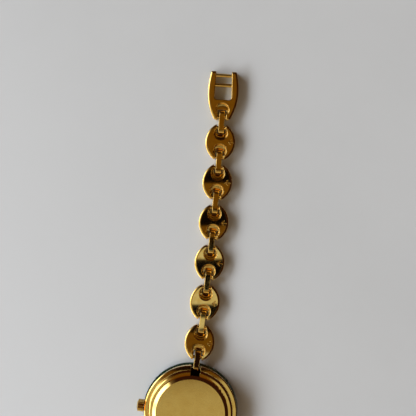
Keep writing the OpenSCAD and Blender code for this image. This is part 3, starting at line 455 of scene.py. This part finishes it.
def solid_from(flat, on_rim, faces, region, top, bottom):
    """Two sheets of the same flat triangles, at the two heights, with walls along their border."""
    n = len(flat)
    out = gradient(region, flat)
    out = out / np.maximum(np.linalg.norm(out, axis=1), 1e-9)[:, None]
    sides = []
    for sign, height in ((1, top), (-1, bottom or top)):
        slope = gradient(height, flat)
        normal = np.column_stack([-slope, np.ones(n)])
        normal[on_rim] = np.column_stack([out[on_rim], np.zeros(on_rim.sum())])
        normal /= np.linalg.norm(normal, axis=1)[:, None]
        sides.append((np.column_stack([flat, height(flat) * sign]), normal * [1, 1, sign]))
    oriented = []
    for f in faces:
        a, b, c = flat[list(f)]
        turn = (b[0] - a[0]) * (c[1] - a[1]) - (b[1] - a[1]) * (c[0] - a[0])
        oriented.append(f if turn > 0 else f[::-1])
    ways = dict.fromkeys((f[i], f[(i + 1) % 3]) for f in oriented for i in range(3))
    border = [(a, b) for a, b in ways if (b, a) not in ways]
    polygons = oriented + [tuple(i + n for i in f[::-1]) for f in oriented]
    polygons += [(a, a + n, b + n, b) for a, b in border]
    return np.vstack([sides[0][0], sides[1][0]]), polygons, np.vstack([sides[0][1], sides[1][1]])


def cross_bar(y, r, turn=24, ease=0.08):
    """Round bar along X at a place along Y, with eased ends that reach into the sides of the notch."""
    end = NOTCH + 0.15
    a, b = np.array([-end, y, 0.0]), np.array([end, y, 0.0])
    along = (b - a) / np.linalg.norm(b - a)
    u = np.cross(along, [0.3, 0.2, 0.9])
    u /= np.linalg.norm(u)
    v = np.cross(along, u)
    rings = [(a, r - ease, -0.8), (a + along * ease, r, 0), (b - along * ease, r, 0), (b, r - ease, 0.8)]
    vertices, normals, polygons = [], [], []
    for centre, radius, lean in rings:
        for i in range(turn):
            s = 2 * math.pi * i / turn
            ray = u * math.cos(s) + v * math.sin(s)
            vertices.append(centre + ray * radius)
            normal = ray + along * lean
            normals.append(normal / np.linalg.norm(normal))
    for k in range(len(rings) - 1):
        for i in range(turn):
            j = (i + 1) % turn
            polygons.append((k * turn + i, k * turn + j, (k + 1) * turn + j, (k + 1) * turn + i))
    polygons.append(tuple(range(turn))[::-1])
    polygons.append(tuple(range(3 * turn, 4 * turn)))
    return np.array(vertices), polygons, np.array(normals)


def joined(*parts):
    vertices, polygons, normals, base = [], [], [], 0
    for v, p, n in parts:
        vertices.append(v)
        normals.append(n)
        polygons += [tuple(i + base for i in f) for f in p]
        base += len(v)
    return np.vstack(vertices), polygons, np.vstack(normals)


def shaped(part, matrix):
    v, p, n = part
    m = np.array(matrix)
    return v @ m[:3, :3].T + m[:3, 3], p, n @ m[:3, :3].T


def mesh_of(name, part, material):
    vertices, polygons, normals = part
    mesh = bpy.data.meshes.new(name)
    mesh.from_pydata((vertices * MM).tolist(), [], polygons)
    mesh.update()
    mesh.shade_smooth()
    mesh.normals_split_custom_set_from_vertices(normals.tolist())
    mesh.materials.append(material)
    return mesh


def add_object(name, data):
    made = bpy.data.objects.new(name, data)
    bpy.context.scene.collection.objects.link(made)
    return made


def piece(name, mesh, matrix, body, slot, *stood_for):
    made = add_object(name, mesh)
    made.matrix_world = matrix
    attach(made, body)
    if stood_for:
        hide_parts(*stood_for)


# Link: its thickness, width and length, the radius of its long sides and of its rim
LINK_T, LINK_W, LINK_L, SIDE_R, RIM_R = 2.3, 8.25, 10.2, 5.7, 0.35
# Round holes: radius, distance from the middle, and the height at which their bottom ends
HOLE_R, HOLE_AT, LAND = 1.975, 2.4, 0.16
# Narrow opening through the bottom of a hole: half its width and how far it reaches past HOLE_AT
LOW_HALF, LOW_REACH = 0.93, 0.26
# Half the width of a notch, cross bar's distance from the tip and its radius, gap between tips
NOTCH, INSET, BAR_R, GAP = 1.22, 1.0, 0.42, 0.9
# Rounded edges: width, drop and lead of the rim, width and drop along a notch
RIM_EDGE, NOTCH_EDGE = (0.55, 0.3, 0.5), (0.16, 0.16)
# Walls of a hole, by the depth inside its outline: rounded edge, steep wall and dished bottom
BOWL_EDGE = 0.18
WALL_FROM, WALL_RUN = 0.15, 0.22
DISH_FROM, DISH_RUN, DISH_DROP = 0.3, 0.9, 0.08
# Engraved arrow: half a stroke, ends of the shaft, place of the barbs, their ends and angle, depth
STROKE, SHAFT, BARB_AT, BARB, BARB_TURN = 0.11, (2.05, 3.6), 2.1, (-0.1, 1.1), math.radians(42)
ARROW_DEPTH, ARROW_SLOPE = 0.12, 0.1
# Where the faces of links and end pieces are divided, from the rim, the notch and a hole's outline
RIM_LINES, NOTCH_LINES = (0.56, 0.54, 0.35, 0.2, 0.1, 0.03), (0.17, 0.07)
HOLE_LINES = (0.01, -0.09, -0.16, -0.23, -0.31, -0.37, -0.6)


def lens_depth(p):
    off = SIDE_R - LINK_W / 2
    side = soft_min(circle_in(p, off, 0, SIDE_R), circle_in(p, -off, 0, SIDE_R), 0.3)
    return soft_min(side, circle_in(p, 0, 0, LINK_L / 2), 0.3)


def hole_depth(p, r):
    return np.maximum(circle_in(p, 0, HOLE_AT, r), circle_in(p, 0, -HOLE_AT, r))


def notch_depth(p):
    """Depth inside the two notches that open the holes to the tips."""
    return np.minimum(NOTCH - np.abs(p[..., 0]), np.abs(p[..., 1]) - HOLE_AT)


def link_opening(p):
    """Depth inside what goes right through: the notches and the narrow bottom of the holes."""
    bottom = soft_min(LOW_HALF - np.abs(p[..., 0]), np.abs(p[..., 1]) - HOLE_AT + LOW_REACH, 0.3)
    return soft_max(bottom, notch_depth(p), 0.12)


def link_region(p):
    return -soft_min(lens_depth(p), -link_opening(p), 0.25)


def bowl(depth):
    """Height lost inside a hole."""
    wall_drop = LINK_T / 2 - LAND - BOWL_EDGE - DISH_DROP
    edge = np.clip(depth / BOWL_EDGE, 0, 1)
    wall = np.clip((depth - WALL_FROM) / WALL_RUN, 0, 1)
    dish = np.clip((depth - DISH_FROM) / DISH_RUN, 0, 1)
    fall = BOWL_EDGE * (1 - np.sqrt(1 - edge * edge))
    return fall + wall_drop * wall * wall * (3 - 2 * wall) + DISH_DROP * dish * (2 - dish)


def arrow_mark(p):
    """Depth inside the engraved arrow, which points to the middle of the link."""
    x, y = p[..., 0], np.abs(p[..., 1])
    shaft = np.minimum(STROKE - y, np.minimum(x - SHAFT[0], SHAFT[1] - x))
    cos, sin = math.cos(BARB_TURN), math.sin(BARB_TURN)
    along, across = (x - BARB_AT) * cos + y * sin, -(x - BARB_AT) * sin + y * cos
    barb = np.minimum(STROKE - np.abs(across), np.minimum(along - BARB[0], BARB[1] - along))
    return np.maximum(shaft, barb)


def link_face(p):
    drop = np.maximum(roll(lens_depth(p), *RIM_EDGE), roll(-notch_depth(p), *NOTCH_EDGE))
    drop = np.maximum(drop, bowl(hole_depth(p, HOLE_R)))
    return LINK_T / 2 - np.minimum(drop, LINK_T / 2 - LAND)


def link_top(p):
    return link_face(p) - ARROW_DEPTH * np.clip(arrow_mark(p) / ARROW_SLOPE, 0, 1)


link_guides = levels(lens_depth, RIM_LINES) + levels(lambda p: -notch_depth(p), NOTCH_LINES)
link_guides += [lambda p, r=HOLE_R + line: hole_depth(p, r) for line in HOLE_LINES]
link_guides += levels(arrow_mark, (0, -0.02, 0.02, 0.085))
BAR_AT = LINK_L / 2 - INSET
link_part = plate(link_region, link_top, link_guides, (-4.5, -5.3), (4.5, 5.3), bottom=link_face)
link_part = joined(link_part, cross_bar(-BAR_AT, BAR_R), cross_bar(BAR_AT, BAR_R))
link_mesh = mesh_of("link", link_part, mats["gold_plate"])

# Connector: its width and thickness, the distance of its bores, how far its ends reach past them,
# the running clearance of a bore, and the bar and reach inside the case
CONN_W, CONN_T, SPAN, REACH, TURN_FIT = 1.6, 1.9, 2 * INSET + GAP, 1.78, 0.08
CASE_BAR_R, CASE_REACH = 0.35, 1.0
# Its rounded edge: width, drop and lead, then the same round a bore
CONN_EDGE, BORE_EDGE = (0.2, 0.18, 0.4), (0.1, 0.1)
CONN_LINES, BORE_LINES = (0.205, 0.13, 0.065, 0.02), (-0.105, -0.04)


def connector_part(reach_in, bar_in):
    """Bar along +Y with its first bore on the origin."""
    start, end, r = -reach_in + CONN_T / 2, SPAN + REACH - CONN_T / 2, CONN_T / 2

    def depth(p):
        return r - np.hypot(p[..., 0] - np.clip(p[..., 0], start, end), p[..., 1])

    def bores(p):
        return np.maximum(circle_in(p, 0, 0, bar_in + TURN_FIT), circle_in(p, SPAN, 0, BAR_R + TURN_FIT))

    def region(p):
        return -np.minimum(depth(p), -bores(p))

    def top(p):
        return CONN_W / 2 - np.maximum(roll(depth(p), *CONN_EDGE), roll(-bores(p), *BORE_EDGE))

    guides = levels(depth, CONN_LINES) + levels(bores, BORE_LINES)
    part = plate(region, top, guides, (-2.2, -1.2), (SPAN + 2.2, 1.2), filler=0.5)
    # It is drawn lying on its side, and turned up here
    return shaped(part, Matrix(((0, 0, 1, 0), (1, 0, 0, 0), (0, 1, 0, 0), (0, 0, 0, 1))))


plain_mesh = mesh_of("connector", connector_part(REACH, BAR_R), mats["gold_plate"])
first_mesh = mesh_of("connector_first", connector_part(CASE_REACH, CASE_BAR_R), mats["gold_plate"])

# End pieces: length and width, where they are widest, radii of the sides before and past that place
END_L, END_W, WIDE_Y, END_SIDE_R = 13.5, 8.45, 13.5 - 5.6, (15.5, 22.0)
# Their mouth: width, width at the open end, depth and radius of its corners
MOUTH_W, THROAT_W, MOUTH_DEPTH, THROAT_R = 4.3, 4.7, 7.8, 0.7
# Radius of the rounded tip, and radius and place of the round hole
TIP_R, END_HOLE_R, END_HOLE_AT = 8.0, 2.0, 2.95
MOUTH_EDGE, MOUTH_LINES = (0.2, 0.2), (0.205, 0.13, 0.06)


def end_depth(p):
    y = p[..., 1]
    near, far = (np.minimum(circle_in(p, r - END_W / 2, WIDE_Y, r), circle_in(p, END_W / 2 - r, WIDE_Y, r))
                 for r in END_SIDE_R)
    side = np.where(y > WIDE_Y, far, near)
    tips = np.where(y > TIP_R, 9.0, circle_in(p, 0, TIP_R, TIP_R))
    return soft_min(soft_min(side, tips, 0.3), END_L - y, 0.3)


def mouth_depth(p):
    x, y = np.abs(p[..., 0]), p[..., 1]
    inward = np.clip((END_L - y) / (MOUTH_DEPTH - THROAT_R), 0, 1)
    half_wide = (MOUTH_W + (THROAT_W - MOUTH_W) * inward) / 2
    return soft_min(half_wide - x, y - (END_L - MOUTH_DEPTH), THROAT_R * 1.2)


def end_hole(p, r):
    return circle_in(p, 0, END_HOLE_AT, r)


def end_notch(p):
    return np.minimum(NOTCH - np.abs(p[..., 0]), END_HOLE_AT - p[..., 1])


def end_opening(p):
    bottom = soft_min(LOW_HALF - np.abs(p[..., 0]), END_HOLE_AT + 0.05 - p[..., 1], 0.3)
    return soft_max(bottom, end_notch(p), 0.12)


def end_region(p):
    return -soft_min(end_depth(p), -np.maximum(end_opening(p), mouth_depth(p)), 0.25)


def end_top(p):
    drop = np.maximum(roll(end_depth(p), *RIM_EDGE), roll(-end_notch(p), *NOTCH_EDGE))
    drop = np.maximum(drop, roll(-mouth_depth(p), *MOUTH_EDGE))
    drop = np.maximum(drop, bowl(end_hole(p, END_HOLE_R)))
    return LINK_T / 2 - np.minimum(drop, LINK_T / 2 - LAND)


end_guides = levels(end_depth, RIM_LINES) + levels(lambda p: -end_notch(p), NOTCH_LINES)
end_guides += levels(lambda p: -mouth_depth(p), MOUTH_LINES)
end_guides += [lambda p, r=END_HOLE_R + line: end_hole(p, r) for line in HOLE_LINES]
end_part = joined(plate(end_region, end_top, end_guides, (-4.7, -0.4), (4.7, 13.9)), cross_bar(INSET, BAR_R))
end_mesh = mesh_of("end_piece", shaped(end_part, Matrix.Translation((0, -INSET, 0))), mats["gold_plate"])

# The strands: place of the first cross bar, and how the first pieces slope down to the table
BAR_Y, BAR_Z, FIRST_TILT = 12.1, 2.9, math.radians(23)
LINK_SPAN = LINK_L - 2 * INSET
near_z = BAR_Z - SPAN * math.sin(FIRST_TILT)
LINK_TILT = math.asin((near_z - LINK_T / 2) / (LINK_SPAN + INSET - RIM_R))
far_z = near_z - LINK_SPAN * math.sin(LINK_TILT)
SECOND_TILT = math.asin((far_z - LINK_T / 2) / SPAN)
SLOPES = {0: -FIRST_TILT, 1: -LINK_TILT, 2: -SECOND_TILT}
PIECES = 14
# Name, heading of the first piece, change of heading at each piece, turn about the case
STRANDS = (("a", 1.0, -0.4, 0), ("b", 0.0, 0.2, math.pi))


def strand_places(lay, drift):
    """Matrix of each piece of a strand, its first cross bar on the origin and its length along +Y."""
    here = Vector((0, BAR_Y, BAR_Z))
    for k in range(PIECES):
        head, slope = math.radians(lay + drift * k), SLOPES.get(k, 0.0)
        yield Matrix.Translation(here) @ Matrix.Rotation(-head, 4, "Z") @ Matrix.Rotation(slope, 4, "X")
        way = Vector((math.sin(head) * math.cos(slope), math.cos(head) * math.cos(slope), math.sin(slope)))
        here = here + (SPAN if k % 2 == 0 else LINK_SPAN) * way


def in_metres(matrix):
    made = matrix.copy()
    made.translation = matrix.translation * MM
    return made


for strand, lay, drift, flip in STRANDS:
    for k, place in enumerate(strand_places(lay, drift)):
        place = in_metres(Matrix.Rotation(flip, 4, "Z") @ place)
        if k == PIECES - 1:
            node, body = ("ladder_frame", "ladder") if strand == "a" else ("clasp_frame", "clasp")
            piece(node + "_shape", end_mesh, place, body, "gold_plate", node)
        elif k % 2 == 0:
            node = f"connector_{strand}{k // 2 + 1}"
            piece(node + "_shape", first_mesh if k == 0 else plain_mesh, place, node, "gold_plate", node)
        else:
            node = f"link_{strand}{k // 2 + 1}"
            shift = Matrix.Translation((0, BAR_AT * MM, 0))
            piece(node + "_shape", link_mesh, place @ shift, node, "gold_plate", node)

# Case: radius, and heights of the band's foot, the lower step, the upper step, the seat of the
# case back and the dial's face
CASE_R, BAND_Z, LEDGE_Z, TOP_Z, SEAT_Z, DIAL_Z = 12.7, 1.25, 4.0, 4.8, 4.5, 2.3
# Radii of the upper step, the seat of the case back, the movement's bore and the dial's ledge
STEP_R, SEAT_R, BORE_R, DIAL_LEDGE_R = 11.6, 9.5, 9.2, 8.9
# Width, drop and lead of the edge of the upper step, and of the lower one
STEP_EDGE, BAND_EDGE = (0.6, 0.5, 0.75), (0.3, 0.2, 0.75)
# Slots: half the width, where they start, height of their floor, width and drop of their edge
SLOT_HALF, SLOT_Y, SLOT_Z, SLOT_EDGE = 1.295, 9.9, 1.5, (0.07, 0.07)
# Width over which a wall drops
STEEP = 0.02


def radius_of(p):
    return np.hypot(p[..., 0], p[..., 1])


def slot_depth(p):
    return np.minimum(SLOT_HALF - np.abs(p[..., 0]), np.abs(p[..., 1]) - SLOT_Y)


def case_region(p):
    r = radius_of(p)
    return -np.minimum(CASE_R - r, r - DIAL_LEDGE_R)


def case_top_face(p):
    """Height of the case: from the outside in, two steps, the seat of the back and the dial's ledge."""
    r = radius_of(p)
    lower = LEDGE_Z - roll(CASE_R - r, *BAND_EDGE)
    z = TOP_Z - roll(STEP_R - r, *STEP_EDGE)
    z = z + (lower - z) * np.clip((r - STEP_R) / STEEP, 0, 1)
    z = SEAT_Z + (z - SEAT_Z) * np.clip((r - SEAT_R) / STEEP, 0, 1)
    z = DIAL_Z + (z - DIAL_Z) * np.clip((r - BORE_R) / STEEP, 0, 1)
    z = z - roll(-slot_depth(p), *SLOT_EDGE)
    return z + (SLOT_Z - z) * np.clip(slot_depth(p) / STEEP, 0, 1)


def case_foot(p):
    return np.full(p.shape[:-1], -BAND_Z)


CASE_RADII = [r + d for r in (BORE_R, SEAT_R) for d in (-0.01, STEEP + 0.01)]
CASE_RADII += [STEP_R - STEP_EDGE[0] + d for d in (-0.01, 0.01)]
CASE_RADII += [STEP_R + d for d in (-0.4, -0.2, -0.1, -0.04, -0.005, STEEP + 0.005)]
CASE_RADII += [CASE_R + d for d in (-0.31, -0.29, -0.18, -0.08, -0.02)]
case_guides = levels(radius_of, CASE_RADII) + levels(slot_depth, (-0.075, -0.03, -0.001, STEEP + 0.005))
case_part = plate(case_region, case_top_face, case_guides, (-13, -13), (13, 13), bottom=case_foot, filler=1.6)
case_mesh = mesh_of("case_middle", case_part, case_metal(SLOT_HALF, SLOT_Y, TOP_Z))
piece("case_middle_shape", case_mesh, Matrix(), "case", "gold_plate", "case_middle")

# Dial markers: inner and outer radius, half the width, and rise
QUARTER, HOUR, MINUTE = (6.3, 8.3, 0.3, 0.16), (6.7, 8.3, 0.2, 0.14), (7.95, 8.3, 0.05, 0.04)
MARKER_SINK = 0.02


def baton(angle, inner, outer, half, rise):
    """Roof-shaped marker on the dial's face, its length along a radius."""
    face = DIAL_Z + MARKER_SINK
    shape = [(-half, inner, face), (half, inner, face), (half, outer, face), (-half, outer, face),
             (0, inner + half, face - rise), (0, outer - half, face - rise)]
    turn = Matrix.Rotation(angle, 3, "Z")
    return [tuple(turn @ Vector(v) * MM) for v in shape]


def marker_mesh():
    vertices, polygons = [], []
    for k in range(60):
        base = len(vertices)
        vertices += baton(math.radians(6 * k), *(QUARTER if k % 15 == 0 else HOUR if k % 5 == 0 else MINUTE))
        polygons += [tuple(base + i for i in f) for f in
                     ((0, 1, 2, 3), (1, 0, 4), (3, 2, 5), (0, 3, 5, 4), (2, 1, 4, 5))]
    mesh = bpy.data.meshes.new("hour_markers")
    mesh.from_pydata(vertices, [], polygons)
    mesh.materials.append(mats["hand_gilt"])
    return mesh


piece("hour_markers", marker_mesh(), Matrix(), "case", "hand_gilt")

# Camera: place in mm, turn about the line of sight in degrees, and lens in mm
CAMERA_AT, CAMERA_TURN, LENS = (-2.3, 55.9, 213), 7.3, 66.25

camera_data = bpy.data.cameras.new("camera")
camera_data.sensor_width, camera_data.lens = 36, LENS
camera_data.clip_start, camera_data.clip_end = 0.01, 20
camera = add_object("camera", camera_data)
camera.location = [c * MM for c in CAMERA_AT]
camera.rotation_euler = (0, 0, math.radians(CAMERA_TURN))
bpy.context.scene.camera = camera

# Floor: half its side in m, its two tones, and a painted pool of light: the paler tone that it nears towards
# -X -Y
FLOOR_HALF = 3.0
FLOOR_TONES = rgb(0.575, 0.577, 0.58), rgb(0.555, 0.557, 0.56)
FLOOR_PAINTED_LIGHT, PAINTED_LIGHT_WAY, PAINTED_LIGHT_FROM, PAINTED_LIGHT_TO = rgb(0.67, 0.675, 0.685), (-0.8, -0.6, 0), -30, 100


def floor_paper():
    """Matt paper that can be seen through from below, with painted light that makes it paler towards -X -Y.
    """
    material, g = new_material("floor")
    where = in_mm(g)
    speck = g.noise(where, 0.02, 4.0, 0.6)
    tone = g.mix(g.ramp(speck, 0.3, 0.7), *FLOOR_TONES)
    # Painted light: the floor's colour turns paler along -X -Y, measured from below the camera
    aside = g.vector("DOT_PRODUCT", g.vector("SUBTRACT", where, (*CAMERA_AT[:2], 0)), PAINTED_LIGHT_WAY)
    tone = g.mix(g.ramp(aside, PAINTED_LIGHT_FROM, PAINTED_LIGHT_TO), tone, FLOOR_PAINTED_LIGHT)
    top = finish_shader(g, Base_Color=tone, Roughness=0.6)
    pass_light(g, top, g.node("ShaderNodeNewGeometry").outputs["Backfacing"])
    return material


floor_mesh = bpy.data.meshes.new("floor")
corners = [(x * FLOOR_HALF, y * FLOOR_HALF, 0) for x, y in ((-1, -1), (1, -1), (1, 1), (-1, 1))]
floor_mesh.from_pydata(corners, [], [(0, 1, 2, 3)])
floor_mesh.materials.append(floor_paper())
floor = add_object("floor", floor_mesh)


def compass(direction, elevation):
    """Unit vectors to a place in the room, to its left and up its face, from degrees off +X."""
    a, e = math.radians(direction), math.radians(elevation)
    towards = (math.cos(a) * math.cos(e), math.sin(a) * math.cos(e), math.sin(e))
    left = (-math.sin(a), math.cos(a), 0)
    upward = (-math.cos(a) * math.sin(e), -math.sin(a) * math.sin(e), math.cos(e))
    return towards, left, upward


LAMP_AIM, LAMP_SPREAD = (0, 0.04, 0), math.radians(80)
DAYLIGHT, WARM = (0.87, 0.95, 1), (1, 0.68, 0.4)


def area_lamp(name, direction, elevation, distance, size, power, colour):
    """Soft lamp that the metal doesn't mirror, because the world's windows stand for it there."""
    lamp = bpy.data.lights.new(name, "AREA")
    lamp.shape, lamp.size, lamp.size_y = "RECTANGLE", *size
    lamp.energy, lamp.color, lamp.spread = power, colour, LAMP_SPREAD
    lit = add_object(name, lamp)
    towards = Vector(compass(direction, elevation)[0])
    lit.location = Vector(LAMP_AIM) + towards * distance
    lit.rotation_mode = "QUATERNION"
    lit.rotation_quaternion = (-towards).to_track_quat("-Z", "Y")
    lit.visible_glossy = False


area_lamp("window", 166, 28.5, 3.0, (3.0, 0.9), 15.5, DAYLIGHT)
area_lamp("second_window", 216, 24, 2.1, (2.1, 0.66), 7, DAYLIGHT)
area_lamp("warm_fill", -15, 35, 3.0, (3.0, 2.0), 3.4, WARM)

# The room, as the metal mirrors it. Places overhead are slopes off the vertical, along the camera's
# two axes: across and up.
SHADE_ASIDE, SHADE_FAR, SHADE = rgb(0.03, 0.01, 0.007), rgb(0.008, 0.005, 0.004), rgb(0.004, 0.003, 0.003)
WALL_LIT, WALL_WAY = rgb(0.6, 0.52, 0.38), (-0.72, -0.62, 0)
CEILING_LEFT, CEILING_RIGHT = rgb(0.115, 0.055, 0.01), rgb(0.16, 0.095, 0.018)
CEILING_FAR = rgb(0.15, 0.078, 0.01)
PALE, CREAM = rgb(0.57, 0.6, 0.6), rgb(0.47, 0.455, 0.35)
# Centre, half width and edge of each band, up the picture
PALE_BANDS, CREAM_BAND = ((-0.058, 0.0085, 0.002), (-0.127, 0.03, 0.003)), (-0.285, 0.06, 0.004)
# Centre and half width of each dark band, and the two of each dark patch, across and then up
DARK_BANDS = ((0.0415, 0.009), (-0.0122, 0.0112), (-0.08, 0.0128), (-0.135, 0.009), (-0.164, 0.004),
              (-0.205, 0.008))
DARK_PATCHES = (((0.0045, 0.005), (-0.049, 0.011)), ((-0.001, 0.005), (-0.099, 0.013)))
DARK_EDGE = 0.0015
# Direction and elevation in degrees, half width and half height of each window
WINDOWS = ((170, 33, 0.32, 0.12), (216, 24, 0.36, 0.1), (174, 17, 0.3, 0.075))
WINDOW_GLOW, PANE_EDGES = rgb(4.2, 4.4, 4.9), (0.15, 0.04)
BELOW, BACKDROP = rgb(0.55, 0.55, 0.55), rgb(0.58, 0.58, 0.58)
LEAST = 0.02  # keeps the slopes finite


def along_way(g, way, direction, depth):
    """Slope of a ray along a direction, for a depth ahead of it."""
    return g.math("DIVIDE", g.vector("DOT_PRODUCT", way, direction), depth)


def room_overhead(g, across, up):
    """Warm and dim, with dark and pale things hung under it."""
    tone = g.mix(g.ramp(across, -0.12, 0.16), CEILING_LEFT, CEILING_RIGHT)
    tone = g.mix(g.ramp(up, -0.1, 0.12), tone, CEILING_FAR)
    tone = g.mix(g.highest([g.band(up, *band) for band in PALE_BANDS]), tone, PALE)
    tone = g.mix(g.band(up, *CREAM_BAND), tone, CREAM)
    dark = [g.band(up, *band, DARK_EDGE) for band in DARK_BANDS]
    dark += [g.math("MULTIPLY", g.band(across, *aside, DARK_EDGE), g.band(up, *upward, DARK_EDGE))
             for aside, upward in DARK_PATCHES]
    tone = g.mix(g.highest(dark), tone, SHADE)
    tone = g.mix(g.ramp(across, 0.24, 0.36), tone, SHADE_ASIDE)
    return g.mix(g.ramp(up, 0.24, 0.36), tone, SHADE_FAR)


def studio():
    world = bpy.data.worlds.new("studio")
    world.use_nodes = True
    g = Graph(world.node_tree)
    way = g.node("ShaderNodeTexCoord").outputs["Generated"]
    z = g.split(way)["Z"]
    height = g.math("MAXIMUM", z, LEAST)
    turn = math.radians(CAMERA_TURN)
    across = along_way(g, way, (math.cos(turn), math.sin(turn), 0), height)
    up = along_way(g, way, (-math.sin(turn), math.cos(turn), 0), height)
    # Walls: bright on the window side and below, dark on the other two sides
    walls = g.mix(g.ramp(g.vector("DOT_PRODUCT", way, WALL_WAY), -0.05, 0.5), SHADE_ASIDE, WALL_LIT)
    tone = g.mix(g.ramp(g.length(across, up), 0.5, 1.1), room_overhead(g, across, up), walls)
    tone = g.mix(g.ramp(z, -0.02, 0.0, 1.0, 0.0), tone, BELOW)
    for direction, elevation, wide, high in WINDOWS:
        towards, left, upward = compass(direction, elevation)
        ahead = g.math("MAXIMUM", g.vector("DOT_PRODUCT", way, towards), LEAST)
        pane = g.math("MULTIPLY", g.band(along_way(g, way, left, ahead), 0.0, wide, PANE_EDGES[0]),
                      g.band(along_way(g, way, upward, ahead), 0.0, high, PANE_EDGES[1]))
        tone = g.mix(pane, tone, WINDOW_GLOW)
    # A plain pale backdrop wherever the camera looks past the floor
    path = g.node("ShaderNodeLightPath").outputs
    tone = g.mix(g.math("MAXIMUM", path["Is Camera Ray"], path["Is Transmission Ray"]), tone, BACKDROP)
    background = g.node("ShaderNodeBackground", {"Color": tone, "Strength": 1.0})
    g.put(g.node("ShaderNodeOutputWorld"), 0, background.outputs[0])
    return world


bpy.context.scene.world = studio()

bpy.context.scene.view_settings.view_transform = "Standard"
